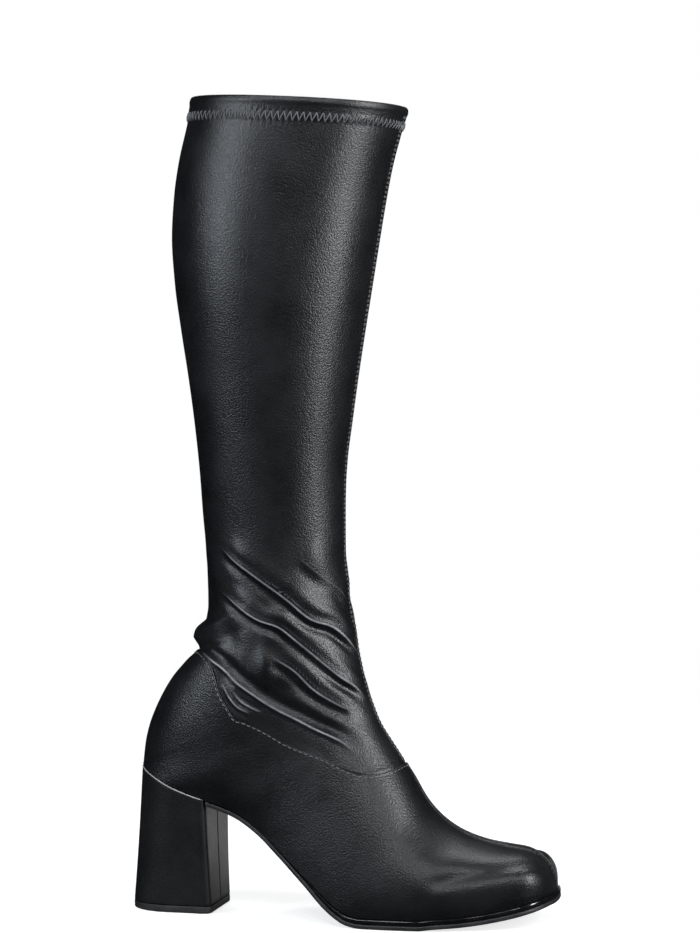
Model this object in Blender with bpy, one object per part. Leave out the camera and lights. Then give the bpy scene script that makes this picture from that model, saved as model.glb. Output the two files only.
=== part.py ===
"""Right go go boot: tall pull-on shaft, one foot panel, covered block heel and thin forefoot sole, in metres, +Z up.

X runs from the heel to the toe, Y to the inner side of the foot, and Z = 0 is the floor. The origin is the centre of
the heel tip's underside.
"""

import bpy
import bmesh
import numpy as np

MM = 0.001

# Lengths along the foot
LENGTH = 239.1 * MM
SEAT_BACK = 19.2 * MM
BREAST = 23.4 * MM
MIDSOLE_START = 82.7 * MM

# Heights
HEEL_HEIGHT = 76.0 * MM
TOE_SPRING = 11.8 * MM
INSTEP_RISE = 59.8 * MM
SHAFT_RISE = 381.3 * MM
COLLAR_FRONT_SHARE = 0.982

# Widths
BALL_WIDTH = 82.0 * MM
CALF_WIDTH = 102.0 * MM
HEEL_TIP_LENGTH = 51.0 * MM
HEEL_TIP_WIDTH = 45.0 * MM
HEEL_CORNER = 4.0 * MM
HEEL_RIM = 1.0 * MM
SOLE_MARGIN = 2.4 * MM

# Thicknesses and clearances
WALL = 1.8 * MM
PANEL_STEP = 0.7 * MM
HEM_STEP = 0.5 * MM
COLLAR_CREST = 0.5 * MM
INSOLE_THICKNESS = 3.0 * MM
INSOLE_TAPER = 2.4 * MM
INSOLE_CLEARANCE = 0.47 * MM
BREAST_CLEARANCE = 0.54 * MM
OUTSOLE_THICKNESS = 2.6 * MM
MIDSOLE_THICKNESS = 2.6 * MM
TIP_THICKNESS = 4.0 * MM
GAP = 0.36 * MM

# Rounding of the outline at its two ends
HEEL_END = 27.0 * MM
HEEL_END_POWER = 2.1
TOE_END = 22.0 * MM
TOE_END_POWER = 2.5
SWELL_POWER = 12.0
RIDGE_SHARE = 0.7
RIDGE_FADE = 4
RIM_FADE = 0.35
HEEL_ROUND_SHARE = 0.5
UPRIGHT = 0.9995
TINY = 1e-7

# Mesh fineness
HALF_COLUMNS = 18
END_STATIONS = 6
MIDDLE_STATIONS = 20
PANEL_ROWS_TO_SEAM = 5
SHAFT_ROWS = 20
HEM_ROWS = 2
INVERSE_SAMPLES = 2000
HEEL_BACK_STATIONS = 12
HEEL_SIDE_STATIONS = 4
HEEL_CORNER_STATIONS = 4
SLOPE_STEP = 0.5 * MM
SHARP_ANGLE = 0.7

# Underside of the sole: place along the foot, share of the heel height and share of the toe spring
SOLE_LINE_COLUMNS = ("along", "heel", "spring")
SOLE_LINE = (
    (0.000, 1.043, 0.000),
    (0.035, 0.998, 0.000),
    (0.061, 0.961, 0.000),
    (0.090, 0.919, 0.000),
    (0.139, 0.862, 0.000),
    (0.174, 0.828, 0.000),
    (0.246, 0.752, 0.000),
    (0.309, 0.630, 0.000),
    (0.363, 0.480, 0.000),
    (0.411, 0.342, 0.000),
    (0.444, 0.245, 0.000),
    (0.466, 0.176, 0.000),
    (0.486, 0.120, 0.000),
    (0.512, 0.060, 0.000),
    (0.540, 0.017, 0.000),
    (0.575, 0.000, 0.000),
    (0.710, 0.000, 0.000),
    (0.741, 0.000, 0.068),
    (0.797, 0.000, 0.161),
    (0.851, 0.000, 0.297),
    (0.903, 0.000, 0.492),
    (0.955, 0.000, 0.746),
    (1.000, 0.000, 1.000),
)

# Outline of the last where the upper meets the sole: shares of the ball width on each side
OUTLINE_COLUMNS = ("along", "lateral", "medial")
OUTLINE = (
    (0.000, 0.300, 0.300),
    (0.043, 0.318, 0.318),
    (0.097, 0.324, 0.322),
    (0.175, 0.322, 0.300),
    (0.263, 0.334, 0.278),
    (0.346, 0.378, 0.285),
    (0.431, 0.444, 0.334),
    (0.493, 0.485, 0.393),
    (0.556, 0.510, 0.449),
    (0.618, 0.517, 0.480),
    (0.681, 0.510, 0.498),
    (0.744, 0.485, 0.502),
    (0.806, 0.449, 0.495),
    (0.865, 0.402, 0.478),
    (0.924, 0.354, 0.454),
    (0.963, 0.329, 0.439),
    (1.000, 0.312, 0.424),
)

# How far the sole stands out past the outline, and how thick the midsole is, as shares
EDGE_COLUMNS = ("along", "margin", "midsole")
EDGE = (
    (0.000, 0.05, 0.00),
    (0.363, 0.05, 0.00),
    (0.427, 0.25, 0.28),
    (0.489, 0.70, 0.66),
    (0.576, 1.00, 1.00),
    (1.000, 1.00, 1.00),
)

# Foot sections from the toe to the end of the seat. Each runs from the sole up to the top line of the foot.
FOOT_COLUMNS = ("name", "sole", "top", "rise", "lateral", "medial", "middle", "top_round", "low_round")
FOOT = (
    ("toe tip", 1.0000, 1.0000, 0.000, 0.000, 0.000, 0.30, 2.6, 2.4),
    ("toe wall low", 0.9967, 0.9967, 0.121, 0.100, 0.100, 0.30, 2.7, 2.4),
    ("toe wall high", 0.9875, 0.9917, 0.198, 0.200, 0.210, 0.30, 2.8, 2.4),
    ("toe edge", 0.9711, 0.9818, 0.280, 0.270, 0.300, 0.30, 2.9, 2.4),
    ("toe top", 0.9451, 0.9639, 0.371, 0.320, 0.370, 0.30, 2.9, 2.4),
    ("toe box", 0.9117, 0.9352, 0.448, 0.350, 0.410, 0.30, 2.7, 2.4),
    ("toe box back", 0.8650, 0.8902, 0.515, 0.400, 0.440, 0.30, 2.45, 2.4),
    ("vamp front", 0.8018, 0.8357, 0.598, 0.455, 0.470, 0.28, 2.2, 2.4),
    ("vamp", 0.7315, 0.7836, 0.699, 0.495, 0.480, 0.26, 2.05, 2.4),
    ("ball", 0.6604, 0.7356, 0.833, 0.507, 0.475, 0.25, 1.95, 2.4),
    ("ball back", 0.5851, 0.6959, 1.007, 0.500, 0.455, 0.25, 1.9, 2.4),
    ("instep low", 0.5056, 0.6634, 1.132, 0.475, 0.420, 0.28, 1.9, 2.3),
    ("instep", 0.4262, 0.6345, 1.042, 0.448, 0.392, 0.33, 1.9, 2.2),
    ("instep high", 0.3425, 0.6065, 0.916, 0.420, 0.376, 0.38, 1.95, 2.2),
    ("waist", 0.2505, 0.5838, 0.811, 0.400, 0.371, 0.42, 2.0, 2.2),
    ("breast", 0.1586, 0.5663, 0.832, 0.393, 0.371, 0.46, 2.0, 2.2),
    ("seat", 0.0763, 0.5529, 0.854, 0.394, 0.377, 0.48, 2.05, 2.2),
    ("seat back", 0.0229, 0.5412, 0.899, 0.397, 0.382, 0.50, 2.1, 2.2),
    ("seat end", 0.0000, 0.5320, 1.000, 0.400, 0.388, 0.52, 2.1, 2.2),
)

# Shaft sections from the seat up. Each is a closed ring from the back line to the front line.
SHAFT_COLUMNS = (
    "name", "back", "back_up", "front", "front_up", "lateral", "medial", "middle", "front_round", "back_round",
)
SHAFT = (
    ("counter low", 0.0055, 0.0307, 0.5244, 0.0267, 0.324, 0.314, 0.54, 2.1, 2.2),
    ("counter", 0.0164, 0.0606, 0.5173, 0.0535, 0.324, 0.316, 0.56, 2.1, 2.15),
    ("counter high", 0.0414, 0.0982, 0.5106, 0.0802, 0.324, 0.317, 0.57, 2.1, 2.1),
    ("counter top", 0.0720, 0.1307, 0.5052, 0.1069, 0.324, 0.318, 0.57, 2.1, 2.05),
    ("notch low", 0.1049, 0.1554, 0.5015, 0.1289, 0.325, 0.320, 0.57, 2.1, 2.0),
    ("notch", 0.1364, 0.1775, 0.4977, 0.1494, 0.327, 0.322, 0.56, 2.1, 2.0),
    ("fold", 0.1371, 0.1996, 0.4952, 0.1698, 0.329, 0.324, 0.55, 2.1, 2.0),
    ("fold top", 0.1568, 0.2204, 0.4935, 0.1903, 0.329, 0.325, 0.54, 2.1, 2.0),
    ("ankle", 0.1631, 0.2451, 0.4927, 0.2123, 0.331, 0.327, 0.53, 2.1, 2.0),
    ("ankle high", 0.1614, 0.2840, 0.4927, 0.2437, 0.335, 0.331, 0.52, 2.1, 2.05),
    ("shin low", 0.1573, 0.3308, 0.4927, 0.2783, 0.343, 0.339, 0.52, 2.1, 2.05),
    ("shin", 0.1502, 0.3828, 0.4935, 0.3223, 0.357, 0.353, 0.52, 2.1, 2.1),
    ("calf low", 0.1431, 0.4426, 0.4981, 0.3758, 0.378, 0.373, 0.51, 2.1, 2.1),
    ("calf rise", 0.1313, 0.5127, 0.5094, 0.4403, 0.404, 0.398, 0.50, 2.1, 2.1),
    ("calf", 0.1159, 0.5855, 0.5236, 0.5204, 0.433, 0.425, 0.50, 2.1, 2.1),
    ("calf high", 0.0987, 0.6557, 0.5403, 0.6053, 0.463, 0.455, 0.49, 2.1, 2.1),
    ("calf top", 0.0832, 0.7258, 0.5579, 0.6887, 0.486, 0.478, 0.49, 2.1, 2.1),
    ("shaft", 0.0761, 0.7934, 0.5755, 0.7689, 0.498, 0.492, 0.49, 2.1, 2.1),
    ("shaft high", 0.0819, 0.8558, 0.5926, 0.8428, 0.502, 0.498, 0.49, 2.1, 2.1),
    ("shaft upper", 0.0958, 0.9103, 0.6093, 0.9072, 0.500, 0.496, 0.49, 2.15, 2.15),
    ("hem line", 0.1159, 0.9636, 0.6278, 0.9601, 0.496, 0.492, 0.49, 2.15, 2.15),
    ("collar", 0.1267, 1.0000, 0.6412, 1.0000, 0.494, 0.490, 0.49, 2.15, 2.15),
)

# Top edge of the foot panel: share of the way round from the back (0) to the front (1), and section number
SEAM_COLUMNS = ("round", "section")
SEAM = (
    (0.00, 23.80),
    (0.20, 23.45),
    (0.36, 22.00),
    (0.44, 20.50),
    (0.48, 19.25),
    (0.51, 17.80),
    (0.54, 15.00),
    (0.57, 13.60),
    (0.62, 12.90),
    (0.70, 12.25),
    (0.80, 11.85),
    (1.00, 11.60),
)

# Edge profiles: share of the thickness, and how far the edge is drawn in, in metres
RING_COLUMNS = ("level", "inset")
OUTSOLE_EDGE = ((0.00, 0.9 * MM), (0.30, 0.0), (0.72, 0.0), (1.00, 0.8 * MM))
MIDSOLE_EDGE = ((0.00, 0.7 * MM), (0.25, 0.0), (0.75, 0.0), (1.00, 0.9 * MM))
INSOLE_EDGE = ((0.00, 0.0), (0.50, 0.4 * INSOLE_TAPER), (1.00, INSOLE_TAPER))

# Heel block: share of the height from the bottom, and how far the side is drawn in there
HEEL_LEVELS = ((0.00, 0.5 * MM), (0.02, 0.0), (0.50, 0.3 * MM), (0.95, 0.0), (0.98, 0.0), (1.00, 0.6 * MM))
TIP_LEVELS = ((0.00, 0.6 * MM), (0.15, 0.0), (1.00, 0.0))

MATERIALS = {
    "upper": ((0.012, 0.012, 0.014), 0.42),
    "insole": ((0.10, 0.09, 0.08), 0.75),
    "outsole": ((0.014, 0.014, 0.015), 0.48),
    "midsole": ((0.012, 0.012, 0.013), 0.30),
    "heel": ((0.012, 0.012, 0.014), 0.38),
    "heel_tip": ((0.016, 0.016, 0.017), 0.60),
}


SEAT_END = float(len(FOOT) - 1)
COLLAR = float(len(FOOT) + len(SHAFT) - 1)
HEM_LINE = COLLAR - 1.0


def column(table, columns, name):
    place = columns.index(name)
    return np.array([row[place] for row in table], dtype=float)


def monotone_slopes(xs, ys):
    steps = np.diff(xs)
    secants = np.diff(ys) / steps
    slopes = np.zeros_like(ys)
    slopes[0] = secants[0]
    slopes[-1] = secants[-1]
    before, after = secants[:-1], secants[1:]
    same_way = before * after > 0.0
    weight_before = 2.0 * steps[1:] + steps[:-1]
    weight_after = steps[1:] + 2.0 * steps[:-1]
    safe_before = np.where(same_way, before, 1.0)
    safe_after = np.where(same_way, after, 1.0)
    mean = (weight_before + weight_after) / (weight_before / safe_before + weight_after / safe_after)
    slopes[1:-1] = np.where(same_way, mean, 0.0)
    return slopes


def smooth(xs, ys, x):
    """A curve through the table's points that doesn't swing past them."""
    slopes = monotone_slopes(xs, ys)
    x = np.clip(x, xs[0], xs[-1])
    i = np.clip(np.searchsorted(xs, x, side="right") - 1, 0, len(xs) - 2)
    step = xs[i + 1] - xs[i]
    t = (x - xs[i]) / step
    start = (1.0 + 2.0 * t) * (1.0 - t) ** 2 * ys[i] + t * (1.0 - t) ** 2 * step * slopes[i]
    end = t**2 * (3.0 - 2.0 * t) * ys[i + 1] - t**2 * (1.0 - t) * step * slopes[i + 1]
    return start + end


def along_of(x):
    return (x + SEAT_BACK) / LENGTH


def x_of(along):
    return along * LENGTH - SEAT_BACK


def from_table(table, columns, name, x):
    return smooth(column(table, columns, "along"), column(table, columns, name), along_of(x))


def sole_under(x):
    heel = from_table(SOLE_LINE, SOLE_LINE_COLUMNS, "heel", x)
    spring = from_table(SOLE_LINE, SOLE_LINE_COLUMNS, "spring", x)
    return HEEL_HEIGHT * heel + TOE_SPRING * spring


def slant(x):
    """How much longer an upright thickness is than one square to the sole."""
    low = np.clip(x - SLOPE_STEP, x_of(0.0), x_of(1.0))
    high = np.clip(x + SLOPE_STEP, x_of(0.0), x_of(1.0))
    return np.hypot(1.0, (sole_under(high) - sole_under(low)) / (high - low))


def outsole_top(x):
    return sole_under(x) + OUTSOLE_THICKNESS * slant(x)


def midsole_bottom(x):
    return outsole_top(x) + GAP * slant(x)


def midsole_top(x):
    return midsole_bottom(x) + MIDSOLE_THICKNESS * from_table(EDGE, EDGE_COLUMNS, "midsole", x) * slant(x)


def feather(x):
    """Height of the line where the upper meets the sole."""
    return midsole_top(x) + GAP * slant(x)


def heel_top(x):
    return feather(x) - GAP * slant(x)


def outline(x):
    """(lateral, medial) distances of the last's outline from the centre plane."""
    lateral = BALL_WIDTH * from_table(OUTLINE, OUTLINE_COLUMNS, "lateral", x)
    medial = BALL_WIDTH * from_table(OUTLINE, OUTLINE_COLUMNS, "medial", x)
    centre = (medial - lateral) / 2.0
    half = (medial + lateral) / 2.0
    from_heel = np.clip(1.0 - (x - x_of(0.0)) / HEEL_END, 0.0, 1.0)
    from_toe = np.clip(1.0 - (x_of(1.0) - x) / TOE_END, 0.0, 1.0)
    half = half * (1.0 - from_heel**HEEL_END_POWER) ** (1.0 / HEEL_END_POWER)
    half = half * (1.0 - from_toe**TOE_END_POWER) ** (1.0 / TOE_END_POWER)
    return half - centre, half + centre


def sections():
    """One row of lengths for each section of the last, from the toe to the collar."""
    rows = []
    for row in FOOT:
        values = dict(zip(FOOT_COLUMNS, row))
        sole_x = x_of(values["sole"])
        rows.append((
            sole_x,
            float(feather(sole_x)),
            x_of(values["top"]),
            float(feather(sole_x)) + INSTEP_RISE * values["rise"],
            BALL_WIDTH * values["lateral"],
            BALL_WIDTH * values["medial"],
            values["middle"],
            values["top_round"],
            values["low_round"],
        ))
    seat_height = float(feather(x_of(0.0)))
    instep_height = seat_height + INSTEP_RISE
    collar_front = seat_height + SHAFT_RISE * COLLAR_FRONT_SHARE
    for row in SHAFT:
        values = dict(zip(SHAFT_COLUMNS, row))
        rows.append((
            x_of(values["back"]),
            seat_height + SHAFT_RISE * values["back_up"],
            x_of(values["front"]),
            instep_height + (collar_front - instep_height) * values["front_up"],
            CALF_WIDTH * values["lateral"],
            CALF_WIDTH * values["medial"],
            values["middle"],
            values["front_round"],
            values["back_round"],
        ))
    return np.array(rows)


def upper_points(section, share):
    """Points of the upper's outer face. Share runs from 0 at the lateral sole edge or back line, over the top or
    front line at one half, to 1 at the medial sole edge or back line."""
    table = sections()
    numbers = np.arange(len(table), dtype=float)
    low_x, low_z, top_x, top_z, lateral, medial, middle, top_round, low_round = (
        smooth(numbers, table[:, k], section) for k in range(table.shape[1])
    )
    on_sole = section <= SEAT_END
    sole_lateral, sole_medial = outline(low_x)
    sole_lateral = np.where(on_sole, sole_lateral, 0.0)
    sole_medial = np.where(on_sole, sole_medial, 0.0)
    low_z = np.where(on_sole, feather(low_x), low_z)
    low_y = (sole_medial - sole_lateral) / 2.0
    top_lateral, top_medial = outline(top_x)
    top_y = np.where(on_sole, RIDGE_SHARE * (top_medial - top_lateral) / 2.0, 0.0)
    fade = np.clip(section / SEAT_END, 0.0, 1.0)
    top_y = top_y * (1.0 - fade**RIDGE_FADE)
    is_medial = share > 0.5
    half = np.where(is_medial, sole_medial, -sole_lateral) - low_y
    side = np.where(is_medial, 1.0, -1.0)
    sole_half = np.abs(half)
    swell = np.where(is_medial, medial, lateral) - side * low_y
    swell = np.maximum(swell, 0.0)
    widest = (sole_half**SWELL_POWER + swell**SWELL_POWER) ** (1.0 / SWELL_POWER)
    widest = np.maximum(widest, TINY)
    ratio = np.clip(sole_half / widest, 0.0, UPRIGHT)
    reach = 1.0 - np.abs(2.0 * share - 1.0)
    start = np.arccos(ratio ** (low_round / 2.0))
    depth = middle / np.sin(start) ** (2.0 / low_round)
    angle_low = start * (1.0 - np.clip(reach / middle, 0.0, 1.0))
    angle_high = np.pi / 2.0 * np.clip((reach - middle) / (1.0 - middle), 0.0, 1.0)
    upward = reach > middle
    rise_low = middle - depth * np.sin(angle_low) ** (2.0 / low_round)
    rise_high = middle + (1.0 - middle) * np.sin(angle_high) ** (2.0 / top_round)
    rise = np.where(upward, rise_high, rise_low)
    wide_y = low_y + side * widest
    y_low = low_y + side * widest * np.cos(angle_low) ** (2.0 / low_round)
    y_high = top_y + (wide_y - top_y) * np.clip(np.cos(angle_high), 0.0, 1.0) ** (2.0 / top_round)
    y = np.where(upward, y_high, y_low)
    x = low_x + (top_x - low_x) * rise
    z = low_z + (top_z - low_z) * rise
    return np.stack((x, y, z), axis=-1)


def seam_section(share):
    reach = 1.0 - np.abs(2.0 * share - 1.0)
    return smooth(column(SEAM, SEAM_COLUMNS, "round"), column(SEAM, SEAM_COLUMNS, "section"), reach)


def stations(per_step):
    """Places along the foot from the heel to the toe, closer together round its two ends."""
    quarter = np.pi / 2.0 * np.arange(END_STATIONS + 1) / END_STATIONS
    heel_end = x_of(0.0) + HEEL_END * (1.0 - np.cos(quarter))
    toe_end = x_of(1.0) - TOE_END * (1.0 - np.cos(quarter[::-1]))
    middle = np.linspace(heel_end[-1], toe_end[0], MIDDLE_STATIONS * per_step + 1)
    return np.concatenate((heel_end, middle[1:-1], toe_end))


def section_at(x):
    """The number of the foot section whose foot stands at x."""
    numbers = np.linspace(0.0, SEAT_END, INVERSE_SAMPLES)
    rows = sections()
    places = smooth(np.arange(len(rows), dtype=float), rows[:, 0], numbers)
    return np.interp(x, places[::-1], numbers[::-1])


def section_grid(shares):
    """Section numbers of each mesh row (down) and column (across). The panel's edge and the hem lie on rows."""
    seam = seam_section(shares)
    scale = seam / seam_section(np.zeros(1))
    seat = SEAT_END * scale
    rows = [section_at(x) * scale for x in stations(1)[:0:-1]]
    rows += [seat + (seam - seat) * i / PANEL_ROWS_TO_SEAM for i in range(PANEL_ROWS_TO_SEAM)]
    rows += [seam + (HEM_LINE - seam) * i / SHAFT_ROWS for i in range(SHAFT_ROWS)]
    rows += [np.full_like(seam, HEM_LINE + (COLLAR - HEM_LINE) * i / HEM_ROWS) for i in range(HEM_ROWS + 1)]
    return np.array(rows)


def new_object(name, vertices, faces):
    mesh = bpy.data.meshes.new(name)
    mesh.from_pydata([tuple(v) for v in vertices], [], faces)
    work = bmesh.new()
    work.from_mesh(mesh)
    bmesh.ops.recalc_face_normals(work, faces=work.faces)
    work.to_mesh(mesh)
    work.free()
    mesh.polygons.foreach_set("use_smooth", [True] * len(mesh.polygons))
    mesh.set_sharp_from_angle(angle=SHARP_ANGLE)
    color, roughness = MATERIALS[name]
    material = bpy.data.materials.new(name)
    material.use_nodes = True
    shader = material.node_tree.nodes["Principled BSDF"]
    shader.inputs["Base Color"].default_value = (*color, 1.0)
    shader.inputs["Roughness"].default_value = roughness
    shader.inputs["Metallic"].default_value = 0.0
    mesh.materials.append(material)
    part = bpy.data.objects.new(name, mesh)
    bpy.context.scene.collection.objects.link(part)
    return part


def grid_normals(points, faces):
    """Average outward direction at each point of the grid, as recalculated from its faces."""
    total = np.zeros_like(points)
    for face in faces:
        a, b, c, d = (points[k] for k in face)
        normal = np.cross(c - a, d - b)
        for k in set(face):
            total[k] += normal
    length = np.linalg.norm(total, axis=1, keepdims=True)
    return total / np.maximum(length, 1e-12)


def quad(a, b, c, d):
    """A face with repeated corners left out, or nothing where it has no area."""
    corners = []
    for k in (a, b, c, d):
        if k not in corners:
            corners.append(k)
    return tuple(corners) if len(corners) > 2 else None


def build_upper():
    columns = 2 * HALF_COLUMNS
    shares = np.arange(columns + 1) / columns
    grid = section_grid(shares)
    seat_row = len(stations(1)) - 1
    seam_row = seat_row + PANEL_ROWS_TO_SEAM
    hem_row = seam_row + SHAFT_ROWS
    last_row = hem_row + HEM_ROWS
    base = []
    ids = np.zeros((last_row + 1, columns + 1), dtype=int)
    for i in range(last_row + 1):
        points = upper_points(grid[i], shares)
        for j in range(columns + 1):
            if i == 0 and j > 0:
                ids[i, j] = ids[0, 0]
            elif i >= seat_row and j == columns:
                ids[i, j] = ids[i, 0]
            else:
                ids[i, j] = len(base)
                base.append(points[j])
    base = np.array(base)
    plain = []
    for i in range(last_row):
        for j in range(columns):
            plain.append((ids[i, j], ids[i, j + 1], ids[i + 1, j + 1], ids[i + 1, j]))
    normals = grid_normals(base, plain)
    middle = base[ids[seam_row, HALF_COLUMNS // 2]] - base[ids[seam_row]].mean(axis=0)
    if np.dot(middle, normals[ids[seam_row, HALF_COLUMNS // 2]]) < 0.0:
        normals = -normals
    edge = {ids[i, j] for i in range(seat_row + 1) for j in (0, columns)}

    def offset(k, distance):
        point = base[k] + normals[k] * distance
        if k in edge:
            flat = np.array((normals[k][0], normals[k][1], 0.0))
            flat /= max(np.linalg.norm(flat), 1e-9)
            point = base[k] + flat * distance
            point[2] = feather(np.clip(point[0], x_of(0.0), x_of(1.0)))
        return point

    vertices = []
    outer = []
    row_lifts = [(i, PANEL_STEP) for i in range(seam_row + 1)]
    row_lifts += [(i, 0.0) for i in range(seam_row, hem_row + 1)]
    row_lifts += [(i, HEM_STEP) for i in range(hem_row, last_row + 1)]
    for i, lift in row_lifts:
        made = {}
        row = []
        for j in range(columns + 1):
            k = ids[i, j]
            if k not in made:
                made[k] = len(vertices)
                vertices.append(offset(k, lift))
            row.append(made[k])
        outer.append(row)
    inner = []
    for i in range(last_row + 1):
        made = {}
        row = []
        for j in range(columns + 1):
            k = ids[i, j]
            if k not in made:
                made[k] = len(vertices)
                vertices.append(offset(k, -WALL))
            row.append(made[k])
        inner.append(row)
    crest = []
    for j in range(columns):
        out, back = vertices[outer[-1][j]], vertices[inner[-1][j]]
        along = vertices[outer[-1][j]] - vertices[outer[-2][j]]
        along = along / np.linalg.norm(along)
        crest.append(len(vertices))
        vertices.append((out + back) / 2.0 + along * COLLAR_CREST)
    crest.append(crest[0])

    faces = []
    for rows, turn in ((outer, 1), (inner, -1)):
        for a, b in zip(rows[:-1], rows[1:]):
            for j in range(columns):
                face = quad(a[j], a[j + 1], b[j + 1], b[j])
                if face:
                    faces.append(face[::turn])
    for first, second in ((outer[-1], crest), (crest, inner[-1])):
        for j in range(columns):
            faces.append((first[j], first[j + 1], second[j + 1], second[j]))
    for i in range(seat_row):
        for j in (0, columns):
            face = quad(outer[i][j], outer[i + 1][j], inner[i + 1][j], inner[i][j])
            faces.append(face)
    return new_object("upper", vertices, faces)


def sole_stations(start):
    """Stations from a start to the toe, with the ends of the flat forefoot among them."""
    places = stations(2)
    flat = [x_of(row[0]) for row in SOLE_LINE if row[1] == 0.0 and row[2] == 0.0]
    for x in flat:
        places[np.argmin(np.abs(places - x))] = x
    if start <= places[0]:
        return places
    step = places[len(places) // 2 + 1] - places[len(places) // 2]
    return np.concatenate(([start], places[places > start + step / 2.0]))


def inset_loop(points, distance):
    """The two-sided outline (lateral points, medial points) moved in along its own normals."""
    lateral, medial = points
    loop = np.concatenate((lateral, medial[::-1]))
    ahead = np.roll(loop, -1, axis=0)
    behind = np.roll(loop, 1, axis=0)
    count = len(lateral)
    tangent = ahead - behind
    length = np.maximum(np.linalg.norm(tangent, axis=1, keepdims=True), 1e-9)
    tangent = tangent / length
    inward = np.stack((-tangent[:, 1], tangent[:, 0]), axis=1)
    distance = np.concatenate((distance, distance[::-1]))
    moved = loop + inward * distance[:, None]
    return moved[:count], moved[count:][::-1]


def outline_loop(x, margin, closed_start):
    """Outline points at places x, moved out by the margin. A cut start stays on its own straight line."""
    lateral, medial = outline(x)
    points = np.stack((x, -lateral), axis=1), np.stack((x, medial), axis=1)
    moved = inset_loop(points, -margin)
    if not closed_start:
        for side, sign in zip(moved, (-1.0, 1.0)):
            side[0] = (x[0], side[0][1])
            side[0][1] = points[0 if sign < 0 else 1][0][1] + sign * margin[0]
    tip = (moved[0][-1] + moved[1][-1]) / 2.0
    moved[0][-1] = tip
    moved[1][-1] = tip
    if closed_start:
        back = (moved[0][0] + moved[1][0]) / 2.0
        moved[0][0] = back
        moved[1][0] = back
    return moved


def stacked_solid(name, levels, closed_start, closed_end):
    """A closed body from loops of (lateral, medial) 3-D points, with its two caps strung across from side to side."""
    count = len(levels[0][0])
    vertices = []
    rings = []
    for lateral, medial in levels:
        left = []
        right = []
        for k in range(count):
            left.append(len(vertices))
            vertices.append(lateral[k])
            shared = (k == 0 and closed_start) or (k == count - 1 and closed_end)
            if shared:
                right.append(left[-1])
            else:
                right.append(len(vertices))
                vertices.append(medial[k])
        rings.append((left, right))
    faces = []
    for (left_a, right_a), (left_b, right_b) in zip(rings[:-1], rings[1:]):
        for k in range(count - 1):
            faces.append(quad(left_a[k], left_a[k + 1], left_b[k + 1], left_b[k]))
            faces.append(quad(right_a[k], right_b[k], right_b[k + 1], right_a[k + 1]))
        if not closed_start:
            faces.append(quad(left_a[0], left_b[0], right_b[0], right_a[0]))
        if not closed_end:
            faces.append(quad(left_a[-1], right_a[-1], right_b[-1], left_b[-1]))
    for left, right in (rings[0], rings[-1]):
        for k in range(count - 1):
            faces.append(quad(left[k], left[k + 1], right[k + 1], right[k]))
    return new_object(name, vertices, [face for face in faces if face])


def sole_layer(name, start, edge, margin, bottom, top):
    """A layer of the sole from a cut start, or from the back of the seat, to the toe."""
    closed_start = start <= x_of(0.0)
    x = sole_stations(start)
    levels = []
    for level, inset in edge:
        lateral, medial = outline_loop(x, margin(x) - inset, closed_start)
        ring = []
        for side in (lateral, medial):
            inside = np.clip(side[:, 0], x_of(0.0), x_of(1.0))
            low, high = bottom(inside), top(inside)
            ring.append(np.column_stack((side, low + (high - low) * level)))
        levels.append(ring)
    return stacked_solid(name, levels, closed_start, True)


def sole_margin(x):
    return SOLE_MARGIN * from_table(EDGE, EDGE_COLUMNS, "margin", x)


def insole_margin(x):
    return np.full_like(x, -(WALL + INSOLE_CLEARANCE))


def insole_top(x):
    return feather(x) + INSOLE_THICKNESS * slant(x)


def heel_stations():
    """Share of the way from back to front, and of the corner's rounding, for each point of the D shape."""
    quarter = np.pi / 2.0 * np.arange(HEEL_BACK_STATIONS) / HEEL_BACK_STATIONS
    back = list(HEEL_ROUND_SHARE * (1.0 - np.cos(quarter)))
    rest = (1.0 - HEEL_ROUND_SHARE) / HEEL_SIDE_STATIONS
    side = [HEEL_ROUND_SHARE + rest * k for k in range(HEEL_SIDE_STATIONS)]
    return np.array(back + side), np.pi / 2.0 * np.arange(HEEL_CORNER_STATIONS + 1) / HEEL_CORNER_STATIONS


def d_loop(back, front, half_widths, inset):
    """The heel's outline at one level: rounded back, near-flat sides and two rounded front corners."""
    shares, corner = heel_stations()
    front = front - inset
    straight_end = front - HEEL_CORNER
    x = back + (straight_end - back) * shares
    lateral, medial = half_widths(x)
    side_l = np.stack((x, -lateral), axis=1)
    side_m = np.stack((x, medial), axis=1)
    side_l, side_m = inset_loop((side_l, side_m), np.full(len(x), inset))
    middle = (side_l[0] + side_m[0]) / 2.0
    side_l[0] = middle
    side_m[0] = middle
    end_lateral, end_medial = half_widths(np.array([straight_end]))
    corner_x = straight_end + HEEL_CORNER * np.sin(corner)
    drop = HEEL_CORNER * (1.0 - np.cos(corner)) + inset
    corner_l = np.stack((corner_x, -(end_lateral[0] - drop)), axis=1)
    corner_m = np.stack((corner_x, end_medial[0] - drop), axis=1)
    return np.concatenate((side_l, corner_l)), np.concatenate((side_m, corner_m))


def tip_half_widths(x):
    back = -HEEL_TIP_LENGTH / 2.0
    round_length = HEEL_TIP_LENGTH * HEEL_ROUND_SHARE
    from_back = np.clip(1.0 - (x - back) / round_length, 0.0, 1.0)
    half = HEEL_TIP_WIDTH / 2.0 * (1.0 - from_back**HEEL_END_POWER) ** (1.0 / HEEL_END_POWER)
    return half, half


def seat_half_widths(x):
    inside = np.clip((x - seat_back_x()) / (BREAST - seat_back_x()), 0.0, 1.0)
    lateral, medial = outline(x_of(0.0) + inside * (BREAST - x_of(0.0)))
    swell = np.sqrt(1.0 - (1.0 - np.clip(inside / RIM_FADE, 0.0, 1.0)) ** 2)
    return lateral + HEEL_RIM * swell, medial + HEEL_RIM * swell


def seat_back_x():
    return x_of(0.0) - HEEL_RIM


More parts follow.
